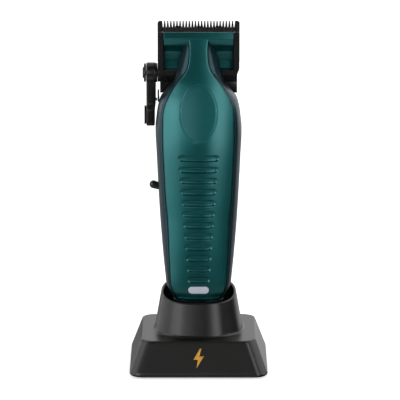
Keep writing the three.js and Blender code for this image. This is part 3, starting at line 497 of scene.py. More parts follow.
# Each patch: the angle it is measured by, its lo and hi, elevation lo and hi, softness (all in
# degrees), brightness. Azimuth 0 is straight in front of the clipper and 90 is on its right as it
# is looked at.
LIGHT_PATCHES = [
    (azimuth, -60, -34, -8, 21, 7, 3.1),  # front, left box
    (azimuth, -66, -46, -26, -8, 5, 1.0),  # its fading lower end
    (azimuth, 24, 39, -8, 42, 5, 4.2),  # front, right box
    (azimuth, 22, 34, -20, -8, 5, 0.15),  # its fading lower end
    (azimuth, -38, -6, 3, 20, 6, 1.9),  # front, between the boxes
    (azimuth, -112, -62, -28, -6, 6, 0.8),  # left, low
    (azimuth, -150, -64, -6, 8, 4, 1.4),  # left and round towards the back
    (azimuth, -112, -66, 14, 60, 6, 2.2),  # left, high
    (azimuth, 62, 125, 12, 60, 4, 2.2),  # right, high
    (turn_away, 140, 181, 7, 60, 6, 1.1),  # back, high
    (azimuth, 130, 181, -9, 7, 3, 1.0),  # back right
    (azimuth, 140, 181, -32, -9, 3, 0.34),  # back right, low
    (azimuth, -181, -140, -32, -10, 4, 0.34),  # back left, low
    (turn_away, 80, 181, 74, 91, 10, 1.2),  # overhead
    (azimuth, -60, 60, -78, -38, 8, 0.7),  # thrown up by the table
]
AMBIENT = 0.035
light = AMBIENT
for around, lo, hi, low, high, soft, bright in LIGHT_PATCHES:
    shape = math_node("MULTIPLY", window(around, lo, hi, soft), window(elevation, low, high, soft))
    light = math_node("ADD", light, math_node("MULTIPLY", shape, bright))
studio = sky.new("ShaderNodeBackground")
join(light, studio.inputs["Strength"])
plain = sky.new("ShaderNodeBackground")
plain.inputs["Strength"].default_value = 1.0
plain.inputs["Color"].default_value = (1, 1, 1, 1)
seen = sky.new("ShaderNodeLightPath")
either = sky.new("ShaderNodeMixShader")
join(seen.outputs["Is Camera Ray"], either.inputs[0])
join(studio.outputs[0], either.inputs[1])
join(plain.outputs[0], either.inputs[2])
join(either.outputs[0], sky.new("ShaderNodeOutputWorld").inputs["Surface"])
print("light patches:", len(LIGHT_PATCHES))


# %% [markdown]
# The pale floor is a wide disc. It isn't part of the object, it stays out of reflections so that
# the glossy shells mirror the studio alone, and it glows a little so that it reads as white paper.

# %% Floor
FLOOR_RADIUS, FLOOR_THICK, FLOOR_GAP, FLOOR_GLOW = 1500, 6, 0.05, 0.6
disc = rod(2, (0, 0), FLOOR_RADIUS, TABLE_Z - FLOOR_THICK, TABLE_Z - FLOOR_GAP, sides=96)
floor = Builder().skin(disc).make("floor")
FLOOR_PAPER = finish("floor_paper", (0.82, 0.82, 0.82), 0.8, bump=0.01, grain=900, patch=8,
                     tint=0.01)
paper_shader = FLOOR_PAPER.node_tree.nodes["Principled BSDF"]
paper_shader.inputs["Emission Color"].default_value = (1, 1, 1, 1)
paper_shader.inputs["Emission Strength"].default_value = FLOOR_GLOW
paint(FLOOR_PAPER, floor)
floor.visible_glossy = False
floor.visible_shadow = False
print("floor ready")


# %% [markdown]
# The stand's shell is one moulding: a sloping foot with round corners and an oval cup whose rim
# dips to the front. Its whole wall is one profile carried round: up the slope, over the top edge,
# across the top face to the cup, up to a rounded lip, and down again inside. Each step of that
# profile is a closed loop, and the loops change from a rounded square to an oval on the way across
# the top face.

# %% Stand shell
BASE_HALF = STAND_HI[0]
BASE_LOW, BASE_TOP, BASE_SLOPE, BASE_CORNER, BASE_WALL = STAND_LO[2], 18.0, 6.6, 7.0, 2.2
SLOPE_FOOT = BASE_LOW + 1.4
CUP_RIM, CUP_TILT, CUP_WALL, CUP_RATIO, CUP_POWER = 40.4, math.radians(9.4), 1.7, 0.97, 2.5


def slope_at(z):
    """How far the foot's side has moved in at height z."""
    return BASE_SLOPE * np.maximum(z - SLOPE_FOOT, 0) / (BASE_TOP - SLOPE_FOOT)


def bend(a, corner, b, steps):
    """Points of a quadratic curve from a to b that heads for the corner point."""
    t = np.linspace(0, 1, steps)[:, None]
    return (1 - t) ** 2 * np.array(a) + 2 * t * (1 - t) * np.array(corner) + t ** 2 * np.array(b)


def level(loop, z):
    """Sections of loops (x, y) at heights z, one height per loop."""
    x, y = loop
    return points3(x, y, np.asarray(z, float)[:, None])


def stand_sections():
    """All loops of the stand's wall, from the foot's outer edge round to its inner edge."""
    t = np.linspace(0, 1, 6)[:-1]
    z = BASE_LOW + t * (SLOPE_FOOT - BASE_LOW)
    low = level(square_loop(BASE_HALF - 0.8 * (1 - t) ** 2, np.full(5, BASE_CORNER)), z)
    z = np.linspace(SLOPE_FOOT, BASE_TOP - 0.8, 12)
    side = level(square_loop(BASE_HALF - slope_at(z), np.full(12, BASE_CORNER)), z)
    edge = bend((slope_at(BASE_TOP - 0.8), BASE_TOP - 0.8), (BASE_SLOPE, BASE_TOP),
                (BASE_SLOPE + 0.8, BASE_TOP), 6)
    edge = level(square_loop(BASE_HALF - edge[1:, 0], np.full(5, BASE_CORNER)), edge[1:, 1])
    foot = bend((1.4, BASE_TOP), (0, BASE_TOP), (0, BASE_TOP + 1.4), 7)
    half = cup_half(foot[:, 1]) + foot[:, 0]
    foot = level(oval_loop(half, half * CUP_RATIO, CUP_POWER), foot[:, 1])
    t = np.linspace(0, 1, 7)[1:-1, None, None]
    across = edge[-1] * (1 - t) + foot[0] * t
    ux, uy = oval_loop(1, CUP_RATIO, CUP_POWER)
    # The tilted rim's height depends on the cup's width at that height: six rounds settle the two.
    rim = np.full(len(ux), CUP_RIM)
    for _ in range(6):
        rim = CUP_RIM + math.tan(CUP_TILT) * cup_half(rim) * uy
    lip = CUP_WALL / 2
    start = BASE_TOP + 1.4
    z = start + np.linspace(0, 1, 14)[1:, None] * (rim - lip - start)
    wall = points3(cup_half(z) * ux, cup_half(z) * uy, z)
    turn = np.linspace(0, math.pi, 12)[1:, None]
    z = rim - lip + lip * np.sin(turn)
    half = cup_half(rim - lip) - lip * (1 - np.cos(turn))
    over = points3(half * ux, half * uy, z)
    under = BASE_TOP - BASE_WALL
    z = (rim - lip) + np.linspace(0, 1, 12)[1:, None] * (under - rim + lip)
    inside = points3((cup_half(z) - CUP_WALL) * ux, (cup_half(z) - CUP_WALL) * uy, z)
    z = np.array([under, SLOPE_FOOT, BASE_LOW])
    inner_half = BASE_HALF - BASE_WALL - slope_at(z)
    inner = level(square_loop(inner_half, np.full(3, BASE_CORNER - BASE_WALL)), z)
    return np.concatenate([low, side, edge, across, foot, wall, over, inside, inner])


stand = Builder().skin(stand_sections(), wrap=True).make("stand_body")
INLET_LO, INLET_HI = box_mm("stand_charge_inlet")
inlet_z = (INLET_LO[2] + INLET_HI[2]) / 2
FIT = 0.3  # room round a part that sits in a hole
slot_x, slot_z = stadium_loop((INLET_HI[0] - INLET_LO[0]) / 2 + FIT,
                              (INLET_HI[2] - INLET_LO[2]) / 2 + FIT)
slot = np.stack([points3(slot_x, y, slot_z + inlet_z) for y in (BASE_HALF - 9, BASE_HALF + 1)])
carve(stand, Builder().skin(slot).make("inlet_cut"))
paint(SATIN_BLACK, stand)
settle(stand, "charging_stand", "satin_black", "stand_shell")


# %% [markdown]
# A thin gilded mark sits on the front slope: a plain lightning bolt, the usual sign for charging.
# Its outline is pushed along Y, then sheared back so that it lies on the slope. Its colour could be
# a mask in the stand's finish, but a raised mark also catches light at its edges.

# %% Charging mark
MARK_Z, MARK_PROUD, MARK_SUNK, MARK_EDGE = 8.9, 0.16, 0.3, 0.07
bolt = np.array([(0.7, 5.2), (-2.9, -0.7), (-0.35, -0.7), (-1.1, -5.2),
                 (2.9, 1.1), (0.3, 1.1), (1.6, 5.2)])
bolt_steps = np.linspace(0, 1, 6)[:-1, None, None]
bolt = bolt * (1 - bolt_steps) + np.roll(bolt, -1, 0) * bolt_steps
bolt = bolt.transpose(1, 0, 2).reshape(-1, 2)
mark_sections = pressed(1, bolt[:, 0], bolt[:, 1] + MARK_Z, -MARK_PROUD, MARK_SUNK, MARK_EDGE,
                        steps=3)
mark_sections[..., 1] += slope_at(mark_sections[..., 2]) - BASE_HALF
mark = Builder().skin(mark_sections).make("charge_mark")
paint(GOLD, mark)
settle(mark, "charging_stand", "contact_brass")


# %% [markdown]
# The liner inside the cup is a tapered well that takes the clipper's tail. Its profile goes up
# outside, over the flange that meets the cup, and down inside to the floor, where two holes let the
# spring contacts through.

# %% Cradle liner
LINER_LO, LINER_HI = box_mm("cradle_liner")
LINER_WALL, WELL_ROOM, WELL_FLARE = 1.4, 0.3, 0.16
TAIL_POWER = 2.8
PIN_COLLAR, PIN_HOLE = 1.9, 1.5
PIN_X = box_mm("stand_contact_pin_right")[0][0] + PIN_COLLAR


def cradle_half(z):
    """Half width of the well: the tail's own, some room, and a flare that widens upwards."""
    return tail_half(z) + WELL_ROOM + np.maximum(z - TAIL_LO[2], 0) * WELL_FLARE


def cap_level(half, z):
    """Superellipse loops of the tail's shape."""
    return level(oval_loop(half, half, TAIL_POWER), z)


floor_z, flange_z = LINER_LO[2] + 2, LINER_HI[2] - 1.6
z = np.linspace(LINER_LO[2], flange_z, 8)
outer = cap_level(cradle_half(z) + LINER_WALL, z)
z = np.array([flange_z, LINER_HI[2]])
flange_half = cup_half(z) - CUP_WALL - FIT
flange = level(oval_loop(flange_half, flange_half * CUP_RATIO, CUP_POWER), z)
z = np.linspace(LINER_HI[2], floor_z, 8)
inner_well = cap_level(cradle_half(z), z)
liner = Builder().skin(np.concatenate([outer, flange, inner_well])).make("cradle_well")
holes = [Builder().skin(rod(2, (s * PIN_X, 0), PIN_HOLE, 15, 30)).make("pin_hole") for s in (-1, 1)]
carve(liner, *holes)
paint(SATIN_BLACK, liner)
settle(liner, "charging_stand", "satin_black", "cradle_liner")


# %% [markdown]
# The clipper's front is a crowned, lacquered panel. Across it, y = front + crown (x / p)^2, with p
# half the panel's width at that height, and the edges turn back with a small radius, which is what
# catches the light. The recesses are not separate cuts: each point is pushed back along its own
# normal by a depth that is worked out from its distance to a groove, to the thumb dish or to the
# lamp window.

# %% Depth of the recesses
GROOVES, GROOVE_PITCH, GROOVE_HALF, GROOVE_DEPTH, GROOVE_TOP = 12, 6.4, 1.9, 0.85, 120.1
GROOVE_WIDE, GROOVE_NARROW = 11.4, 6.4  # half lengths of the top and the bottom groove
GROOVE_SIDE = 0.62  # share of a groove's half height that its scooped side takes
DISH_Z, DISH_HALF, DISH_HIGH, DISH_DEPTH = 145.4, 10.3, 15.4, 0.7
# A small step at the dish's edge and a fine line sunk along it; runs are shares of its radius.
DISH_STEP, STEP_RUN = 0.22, 0.03
RIM_LINE, LINE_RUN = 0.3, 0.022
LAMP_SINK, LAMP_ROOM = 1.3, 0.15
LAMP_LO, LAMP_HI = box_mm("led_window")
LAMP_Z, LAMP_HALF = (LAMP_LO[2] + LAMP_HI[2]) / 2, LAMP_HI[0]
LAMP_HIGH = (LAMP_HI[2] - LAMP_LO[2]) / 2


def smooth(t):
    """0 below 0, 1 above 1, and 3t^2 - 2t^3 between."""
    t = np.clip(t, 0, 1)
    return t * t * (3 - 2 * t)


def inside_stadium(x, z, half_x, half_z):
    """Distance inwards from a stadium's edge, below 0 outside it."""
    return half_z - np.hypot(np.maximum(np.abs(x) - (half_x - half_z), 0), z)


def recess(x, z):
    """Depth below the panel's surface: sine scoops, a paraboloid dish, a flat lamp pocket."""
    k = np.clip(np.round((GROOVE_TOP - z) / GROOVE_PITCH), 0, GROOVES - 1)
    half = GROOVE_WIDE + (GROOVE_NARROW - GROOVE_WIDE) * k / (GROOVES - 1)
    within = inside_stadium(x, z - (GROOVE_TOP - GROOVE_PITCH * k), half, GROOVE_HALF)
    depth = GROOVE_DEPTH * np.sin(math.pi / 2 * np.clip(within / (GROOVE_SIDE * GROOVE_HALF), 0, 1))
    r = np.hypot(x / DISH_HALF, (z - DISH_Z) / DISH_HIGH)
    depth += DISH_DEPTH * np.clip(1 - r ** 2, 0, 1) + DISH_STEP * smooth((1 - r) / STEP_RUN)
    depth += RIM_LINE * np.exp(-((r - 1) / LINE_RUN) ** 2)
    within = inside_stadium(x, z - LAMP_Z, LAMP_HALF + LAMP_ROOM, LAMP_HIGH + LAMP_ROOM)
    return depth + LAMP_SINK * smooth(within / LAMP_ROOM + 0.5)


print("depth in the dish's middle:", round(float(recess(0.0, DISH_Z)), 2), "mm")


# %% [markdown]
# The panel's grid: closed loops at many heights, close together where there are recesses. A loop
# goes along the outside from left to right, round the edge, and back inside. The wide plate under
# the blade belongs to the same moulding. Its side profile is a flat lip over a scoop, and that
# profile is carried along X.

# %% Front cover
EDGE = 0.9  # size of the panel's rounded edge
CREASE_Z = 185.4  # where the plate's lip turns into its scoop
PLATE_HALF, PLATE_THICK = 19.6, 1.3


def shrink(z):
    """The shells' lower rim is rounded: how far their section moves in at height z."""
    return 0.6 * np.clip(1 - (z - COVER_LO[2]) / 1.0, 0, 1) ** 2


def cover_sections():
    """Closed loops of the lacquered panel."""
    z = np.concatenate([np.linspace(COVER_LO[2], 41, 9)[:-1], np.arange(41, 126, 0.26),
                        np.arange(126, 130.6, 0.9), np.arange(130.9, 162.6, 0.36),
                        np.linspace(163, CREASE_Z, 26)])[:, None]
    half = panel_half(z) - 0.8 * shrink(z) - SEAM
    front, rise = front_line(z) + shrink(z), crown(z)
    u = np.linspace(-1, 1, 121)
    x = (half - EDGE) * u
    slope = 2 * rise * x / half ** 2
    depth = recess(x, z + 0 * x) / np.hypot(1, slope)
    main = points3(x - depth * slope, front + rise * (x / half) ** 2 + depth, z)
    t = np.linspace(0, 1, 6)[1:]
    a_x, a_y = half - EDGE, front + rise * ((half - EDGE) / half) ** 2
    corner_x, corner_y, b_y = half, front + rise * 0.98, front + rise + EDGE
    edge_x = (1 - t) ** 2 * a_x + 2 * t * (1 - t) * corner_x + t ** 2 * half
    edge_y = (1 - t) ** 2 * a_y + 2 * t * (1 - t) * corner_y + t ** 2 * b_y
    right, left = points3(edge_x, edge_y, z), points3(-edge_x, edge_y, z)
    back = np.linspace(1, -1, 25)
    inner = points3(half * back, front + rise * back ** 2 + WALL, z)
    return np.concatenate([left[:, ::-1], main, right, inner], 1)


plate_z = np.array([189, 187.6, CREASE_Z, 183.6, 181.6, 180.2, 177.5, 172.5, 167.6])
plate_y = np.array([-0.9, -1.62, -2.7, -1.9, -0.9, 0.9, 3.2, 4.3, 4.4])
face_z = np.concatenate([np.linspace(189, CREASE_Z + 0.4, 8),
                         np.linspace(CREASE_Z + 0.2, 167.6, 44)])
face_y = np.interp(face_z, plate_z[::-1], plate_y[::-1])
soft_y = np.convolve(np.pad(face_y, 2, mode="edge"), [0.1, 0.2, 0.4, 0.2, 0.1], "valid")
face_y = np.where(face_z < CREASE_Z - 1, soft_y, face_y)
plate_u = np.concatenate([face_y, face_y[::-1] + PLATE_THICK])
plate_v = np.concatenate([face_z, face_z[::-1]])
plate_ends = pressed(0, plate_u, plate_v, -PLATE_HALF, PLATE_HALF, 0.3, steps=4)
cover = Builder().skin(cover_sections()).skin(plate_ends).make("panel")
paint(TEAL, cover)
settle(cover, "clipper", "teal_lacquer", "front_cover")


# %% [markdown]
# The rear shell wraps from the panel's crease round the back. Its section is a steep curved flank
# from the crease to the widest point, then a superellipse. Above the shoulder only the two flanks
# go on, as strips beside the neck. So the shell is a wall between an outer and an inner grid, made
# only where a table of cells says so, and every open edge of the cells is closed by a quad.

# %% Wall between two grids
def grid_wall(outer, inner, cells):
    """Wall: outer and inner quads where cells is true, side quads round every open edge."""
    rows, cols = outer.shape[:2]
    index = np.arange(rows * cols).reshape(rows, cols)
    shift = rows * cols
    a, b = index[:-1, :-1], index[:-1, 1:]
    c, d = index[1:, 1:], index[1:, :-1]
    quads = np.stack([a, b, c, d], -1)[cells]
    faces = [quads, quads[:, ::-1] + shift]
    table = np.pad(cells, 1)
    before, here, after = slice(0, -2), slice(1, -1), slice(2, None)
    for neighbour, first, second in (((before, here), a, b), ((after, here), c, d),
                                     ((here, before), d, a), ((here, after), b, c)):
        edge = cells & ~table[neighbour]
        p, q = first[edge], second[edge]
        faces.append(np.stack([q, p, p + shift, q + shift], -1))
    corners = np.concatenate([outer.reshape(-1, 3), inner.reshape(-1, 3)])
    return corners, np.concatenate(faces).tolist()


REAR_STEP = 153.0  # the shoulder, above which only the flanks go on
BACK_POWER, TOP_ROUND = 2.6, 0.7


def rear_section(z, inset, round_top):
    """Half of the section at heights z: crease, quadratic flank, superellipse to the middle."""
    e = shrink(z) + inset
    a, p = half_width(z) - e, panel_half(z) - 0.8 * e
    front = front_line(z) + e
    crease = front + crown(z)
    turn_y = np.minimum(crease + 1.6 * (a - p), PART_Y)
    t = np.linspace(0, 1, 16)
    flank_x = (1 - t) ** 2 * p + (1 - (1 - t) ** 2) * a
    flank_y = (1 - t) ** 2 * crease + 2 * t * (1 - t) * turn_y + t ** 2 * PART_Y
    f = np.linspace(0, math.pi / 2, 30)[1:]
    top = round_top * TOP_ROUND * np.clip(1 - (REAR_STEP - z) / TOP_ROUND, 0, 1) ** 2 * np.sin(f)
    rear = rear_line(z) - e - top
    back_x = (a - top) * np.cos(f) ** (2 / BACK_POWER)
    back_y = PART_Y + (rear - PART_Y) * np.sin(f) ** (2 / BACK_POWER)
    return np.concatenate([flank_x, back_x], 1), np.concatenate([flank_y, back_y], 1)


# Rows lie closer together at the rounded rim and at the shoulder.
z = np.concatenate([np.linspace(REAR_LO[2], REAR_LO[2] + 1.2, 5)[:-1],
                    np.linspace(REAR_LO[2] + 1.2, 140, 60)[:-1],
                    np.linspace(140, 152, 20)[:-1], np.linspace(152, REAR_STEP, 6)[:-1],
                    np.linspace(REAR_STEP, REAR_HI[2], 50)])[:, None]
out_x, out_y = rear_section(z, 0, 1)
in_x, in_y = rear_section(z, WALL, 0)
# The seam face stands just outside the panel's edge. The first three columns round its corner.
seam_x = (panel_half(z) - 0.8 * shrink(z) + SEAM)[:, 0]
seam_y = out_y[:, 0] + 0.45
out_x[:, 0], out_y[:, 0] = seam_x, seam_y
out_x[:, 1], out_y[:, 1] = seam_x + 0.06, seam_y + 0.19
out_x[:, 2] = seam_x + 0.22
in_x[:, 0], in_y[:, 0] = seam_x, seam_y + WALL


def both_sides(x, y):
    """A half section and its mirror image in one row, from the right crease to the left one."""
    return np.concatenate([points3(x, y, z), points3(-x[:, -2::-1], y[:, -2::-1], z)], 1)


outer, inner = both_sides(out_x, out_y), both_sides(in_x, in_y)
cells = np.ones((outer.shape[0] - 1, outer.shape[1] - 1), bool)
FLANK_COLUMNS = 15
above_step = z[:-1, 0] > REAR_STEP - 0.01
cells[np.ix_(above_step, np.arange(FLANK_COLUMNS, cells.shape[1] - FLANK_COLUMNS))] = False
rear = Builder()
points, faces = grid_wall(outer, inner, cells)
rear.points, rear.faces, rear.count = [points], faces, len(points)
rear = rear.make("rear_shell")
print("rear shell:", len(rear.data.polygons), "faces")


# %% [markdown]
# Four screws hold the rear shell, each at the bottom of a round pocket, and the switch lever comes
# out of a slot in the flank. A closed boss is added behind each pocket, then pockets and slot are
# cut with Booleans.

# %% Rear shell's pockets and slot
def combine(piece, other):
    """Joins another closed shape to a piece."""
    return carve(piece, other, operation="UNION")


SCREWS = [f"housing_screw_{i}" for i in (1, 2, 3, 4)]
SCREW_HEAD, POST_R, POCKET_R = 1.8, 3.3, 2.4
TOGGLE_PLACE = np.array([-17.5, 4.0, 98.2])
TOGGLE_SLOT_HIGH, TOGGLE_SLOT_WIDE = 5.0, 2.8
bosses, pockets = Builder(), Builder()
for screw in SCREWS:
    lo, hi = box_mm(screw)
    x, z = (lo[0] + hi[0]) / 2, (lo[2] + hi[2]) / 2
    seat = hi[1] - SCREW_HEAD
    bosses.skin(rod(1, (x, z), POST_R, seat - 6, seat + 0.9, sides=40))
    pockets.skin(rod(1, (x, z), POCKET_R, seat - 0.2, 30, sides=40))
combine(rear, bosses.make("bosses"))
slot_up, slot_across = stadium_loop(TOGGLE_SLOT_HIGH, TOGGLE_SLOT_WIDE)
slot = np.stack([points3(x, slot_across + TOGGLE_PLACE[1], slot_up + TOGGLE_PLACE[2])
                 for x in (-30.0, -19.6)])
carve(rear, pockets.make("pockets"), Builder().skin(slot).make("toggle_slot"))
paint(GRAPHITE, rear)
settle(rear, "clipper", "graphite_paint", "rear_housing")


# %% [markdown]
# The tail cap is the black plug that stands in the cradle. It is a superellipse with a spigot that
# reaches into the shells, hollow inside, with two round windows for the charging contacts and an
# oval one for a cable.

# %% Tail cap
top_z = COVER_LO[2] - 0.3
z = np.array([TAIL_LO[2] + 2.2, TAIL_HI[2] - 0.3, TAIL_HI[2]])
bore = cap_level(np.array([10.6, 10.6, 10.8]), z)
z = np.array([TAIL_HI[2], TAIL_HI[2] - 0.3, top_z, top_z])
spigot = cap_level(np.array([11.8, 12.1, 12.1, tail_half(top_z) - 0.3]), z)
z = np.concatenate([[top_z - 0.3], np.linspace(top_z - 1, 26, 14),
                    np.linspace(25.6, TAIL_LO[2], 7)])
outside = cap_level(tail_half(z), z)
tail = Builder().skin(np.concatenate([bore, spigot, outside])).make("tail_plug")
PORT_LO, PORT_HI = box_mm("charge_port")
mouth_x, mouth_y = stadium_loop((PORT_HI[0] - PORT_LO[0]) / 2 + FIT,
                                (PORT_HI[1] - PORT_LO[1]) / 2 + FIT)
port_y = (PORT_LO[1] + PORT_HI[1]) / 2
mouth = np.stack([points3(mouth_x, mouth_y + port_y, z) for z in (20.0, 28.0)])
WINDOW_R = 2.5
windows = [Builder().skin(rod(2, (s * PIN_X, 0), WINDOW_R, 20, 28)).make("window") for s in (-1, 1)]
carve(tail, Builder().skin(mouth).make("mouth"), *windows)
paint(GLOSS_BLACK, tail)
settle(tail, "clipper", "gloss_black", "tail_cap")


# %% [markdown]
# The lamp window is a frosted pill that fills its pocket in the panel. Its face repeats the panel's
# crown, so it is made from outlines that shrink towards the middle, each laid on that curved
# surface.

# %% Lamp window
pill_x, pill_z = stadium_loop(LAMP_HALF, LAMP_HIGH, steps=24)
# Each outline: how far it is pulled in, and how deep it lies below the panel's surface.
sections = []
for pull, depth in ((0, 1.1), (0, 0.25), (0.06, 0.1), (0.18, 0.02), (0.35, 0), (0.8, 0), (1.4, 0),
                    (1.9, 0)):
    x, z = inset_outline(pill_x, pill_z, pull)
    z = z + LAMP_Z
    sections.append(points3(x, front_line(z) + crown(z) * (x / panel_half(z)) ** 2 + depth, z))
lamp = Builder().skin(np.stack(sections)).make("lamp_window")
paint(LENS, lamp)
settle(lamp, "clipper", "lens", "led_window")


# %% [markdown]
# The taper lever swings beside the head. Seen from its side it is a round hub, a straight arm and a
# wider thumb tab. Half its width is a function of height, mirrored into an outline that is pushed
# through its thickness.

# %% Taper lever
ARM_Y = (LEVER_LO[1] + LEVER_HI[1]) / 2
HUB_R = (LEVER_HI[1] - LEVER_LO[1]) / 2
HUB_Z = LEVER_HI[2] - HUB_R
ARM_HALF, TAB_HALF, TAB_TOP, TAB_CORNER = 3.8, 5.5, 146.6, 2.2
ARM_IN, ARM_OUT, TAB_OUT = -24.2, -29.6, 1.1
RELIEF, RELIEF_TOP, RELIEF_RUN = 0.6, 148.6, 6
PAD_Z, PAD_HIGH, PAD_WIDE = 140.4, 5.2, 4.3
RIBS, RIB_WIDE, RIB_HIGH = (137.2, 139.4, 141.6, 143.8), 3.2, 0.45


def lever_half(z):
    """Half width of the lever at height z: tab with round corners, arm, then hub."""
    hub = np.sqrt(np.clip(HUB_R ** 2 - (z - HUB_Z) ** 2, 0, None))
    corner = np.clip((LEVER_LO[2] + TAB_CORNER - z) / TAB_CORNER, 0, 1)
    arm = ARM_HALF + (TAB_HALF - ARM_HALF) * smooth((TAB_TOP + 1 - z) / 4)
    arm = arm - TAB_CORNER * (1 - np.sqrt(1 - corner ** 2))
    return np.where(z > HUB_Z, hub, np.maximum(hub, arm))


def lever_outline(lo, hi, margin=0.0, steps=90):
    """Closed anticlockwise outline (y, z) of the lever between two heights."""
    z = lo + (hi - lo) * (1 - np.cos(np.linspace(0, math.pi, steps))) / 2
    half = np.maximum(lever_half(z) - margin, 0.02)
    return np.concatenate([ARM_Y + half, ARM_Y - half[::-1]]), np.concatenate([z, z[::-1]])


outline_y, outline_z = lever_outline(LEVER_LO[2], LEVER_HI[2])
arm = pressed(0, outline_y, outline_z, ARM_OUT, ARM_IN, 0.75)
# Towards the hand the arm's inner face is relieved, so that it clears the body.
inner_side = arm[..., 0] > (ARM_IN + ARM_OUT) / 2
arm[..., 0] -= RELIEF * smooth((RELIEF_TOP - arm[..., 2]) / RELIEF_RUN) * inner_side
lever = Builder().skin(arm)
pad_up, pad_across = stadium_loop(PAD_HIGH, PAD_WIDE, steps=14)
pad = pressed(0, ARM_Y + pad_across, PAD_Z + pad_up, ARM_OUT - TAB_OUT, ARM_OUT + 1, 0.7)
lever.skin(pad[:, ::-1])
rib_across, rib_up = stadium_loop(RIB_WIDE, RIB_HIGH, steps=6)
for rib_z in RIBS:
    lever.skin(pressed(0, ARM_Y + rib_across, rib_z + rib_up, ARM_OUT - TAB_OUT, ARM_OUT - 0.4,
                       0.1, steps=2))
lever.skin(rod(0, (ARM_Y, HUB_Z), HUB_R - 0.3, ARM_IN - 0.4, LEVER_HI[0] - 0.05, sides=48,
               bevel=0.2))
lever = lever.make("lever_arm")
paint(SATIN_BLACK, lever)
settle(lever, "taper_control", "satin_black", "taper_lever")


# %% [markdown]
# The hub turns against a round boss on the head frame's side, below the step where the frame gets
# narrower. It is a short rod with a hole for the shaft, and a fine gap keeps it off the hub. It is
# kept smaller than the hub so that the comb's corner clears it when the comb slides down.

# %% Lever's boss
BOSS_R, BOSS_INNER, BOSS_GAP, SHAFT_HOLE = 5.2, -20.6, 0.12, 2.6
boss_rod = rod(0, (ARM_Y, HUB_Z), BOSS_R, LEVER_HI[0] + BOSS_GAP, BOSS_INNER, sides=48)
boss = Builder().skin(boss_rod).make("lever_boss")
shaft_rod = rod(0, (ARM_Y, HUB_Z), SHAFT_HOLE, LEVER_HI[0] - 2, BOSS_INNER + 2)
carve(boss, Builder().skin(shaft_rod).make("shaft_hole"))
paint(GLOSS_BLACK, boss)
settle(boss, "clipper", "gloss_black")


# %% [markdown]
# A stepped round cap with a coin slot holds the lever. It is turned: a radius at each place along
# its axis. The slot is cut out afterwards.

# %% Lever screw
SCREW_LO, SCREW_HI = box_mm("lever_screw")
SHANK_R = 1.2
cap_steps = [(0, 2.7), (0.12, 3.1), (0.62, 3.2), (0.7, 3.35), (0.72, 4.9), (0.9, 5.2), (1.05, 5.3),
             (1.75, 5.3), (1.9, 5.15), (1.9, SHANK_R)]
profile = [(SCREW_LO[0] + depth, radius) for depth, radius in cap_steps] + [(SCREW_HI[0], SHANK_R)]


def turned(axis, centre, profile, sides=48):
    """Sections of a turned shape: (place, radius) pairs along an axis."""
    t = np.linspace(0, 2 * math.pi, sides, endpoint=False)
    first, second = [k for k in range(3) if k != axis]
    sections = np.zeros((len(profile), sides, 3))
    for i, (place, radius) in enumerate(profile):
        sections[i, :, axis] = place
        sections[i, :, first] = centre[0] + radius * np.cos(t)
        sections[i, :, second] = centre[1] + radius * np.sin(t)
    return sections


cap = Builder().skin(turned(0, (ARM_Y, HUB_Z), profile)).make("lever_cap")
slot_u, slot_v = stadium_loop(2.4, 0.4, steps=6)
slot = np.stack([points3(x, ARM_Y + slot_v, HUB_Z + slot_u)
                 for x in (SCREW_LO[0] - 1, SCREW_LO[0] + 0.55)])
carve(cap, Builder().skin(slot).make("coin_slot"))
paint(GLOSS_BLACK, cap)
settle(cap, "taper_control", "gloss_black", "lever_screw")


# %% [markdown]
# The power switch is a small bat lever: a ball inside the shell, a thin neck, and a fatter round
# end. It is turned about its own axis, then tipped to the angle at which it rests. Each pole keeps
# a tiny radius, so that its ring of points closes with one flat face.

# %% Power toggle
TOGGLE_TIP, TOGGLE_REST = 10.9, math.radians(18)
BALL_R, NECK_R, END_R, POLE_R = 2.6, 1.75, 2.3, 0.02
ball = np.linspace(BALL_R, -2, 10)
turn = np.linspace(0, math.pi / 2, 10)[1:]
s = np.concatenate([ball, np.linspace(-BALL_R, -TOGGLE_TIP + END_R, 14),
                    -TOGGLE_TIP + END_R - END_R * np.sin(turn)])
r = np.concatenate([np.sqrt(np.clip(BALL_R ** 2 - ball ** 2, POLE_R ** 2, None)),
                    NECK_R + (END_R - NECK_R) * smooth(np.linspace(0, 1, 14)),
                    np.maximum(END_R * np.cos(turn), POLE_R)])
bat = turned(0, (0, 0), list(zip(s, r)), sides=40)
cos_a, sin_a = math.cos(TOGGLE_REST), math.sin(TOGGLE_REST)
bat = np.stack([bat[..., 0] * cos_a + bat[..., 2] * sin_a, bat[..., 1],
                -bat[..., 0] * sin_a + bat[..., 2] * cos_a], -1) + TOGGLE_PLACE
toggle = Builder().skin(bat).make("switch_bat")
paint(GLOSS_BLACK, toggle)
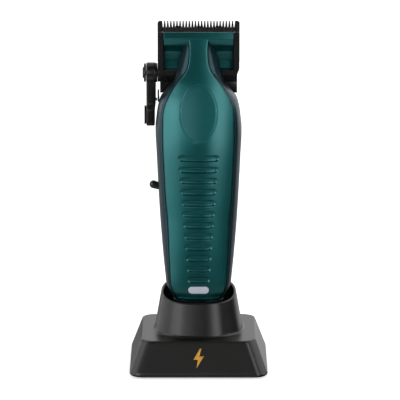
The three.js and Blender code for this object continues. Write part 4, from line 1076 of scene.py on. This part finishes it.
settle(toggle, "power_switch", "gloss_black", "power_toggle")


# %% [markdown]
# The head frame, the blades and the small metal parts have the right shape in the working model
# already. They only need the softened edges that a moulding tool or a grinding wheel leaves, so
# each gets a bevelled copy.

# %% Head, blades and small parts
SOFTENED = [
    ("head_frame", 0.14, "clipper", GLOSS_BLACK), ("comb_blade", 0.12, "comb_slide", BLADE),
    ("cutter_blade", 0.1, "cutter_slide", BLADE), ("blade_bracket", 0.12, "comb_slide", STEEL),
    ("blade_screw_left", 0.15, "comb_slide", STEEL),
    ("blade_screw_right", 0.15, "comb_slide", STEEL),
    ("detent_plate", 0.08, "clipper", BLADE), ("lever_shaft", 0.1, "taper_control", STEEL),
    ("stand_base_plate", 0.3, "charging_stand", SATIN_BLACK),
    ("stand_charge_inlet", 0.05, "charging_stand", STEEL),
] + [(name, 0.15, "clipper", STEEL) for name in SCREWS] + [
    (f"stand_foot_{i}", 0.35, "charging_stand", RUBBER) for i in (1, 2, 3, 4)] + [
    (f"stand_screw_{i}", 0.15, "charging_stand", STEEL) for i in (1, 2, 3, 4)]
for node, width, body, material in SOFTENED:
    piece = softened(node, width)
    paint(material, piece)
    settle(piece, body, material.name.removesuffix("_finish"), node)


# %% [markdown]
# Everything inside the shells stays as the working model has it, with a finish of its own, because
# it shows when the clipper is taken apart.

# %% Inner pieces
INNER = {
    SATIN_BLACK: ["cutter_yoke", "battery_tray", "switch_body", "stand_pin_holder"],
    STEEL: ["motor_can", "motor_plate", "motor_screw_left", "motor_screw_right", "motor_shaft",
            "eccentric_cam", "lever_detent_pin", "charge_port"],
    BRASS: ["cam_bearing", "tail_contact_left", "tail_contact_right", "stand_contact_pin_left",
            "stand_contact_pin_right"],
    BOARD: ["circuit_board", "stand_circuit_board"],
    CELL: ["battery_cell"],
    LENS: ["led"],
}
for material, names in INNER.items():
    paint(material, *names)
plain_nodes = set(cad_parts) - {name for names in INNER.values() for name in names}
left_over = sorted(name for name in plain_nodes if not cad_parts[name].hide_render)
print("working pieces with no finish:", left_over)
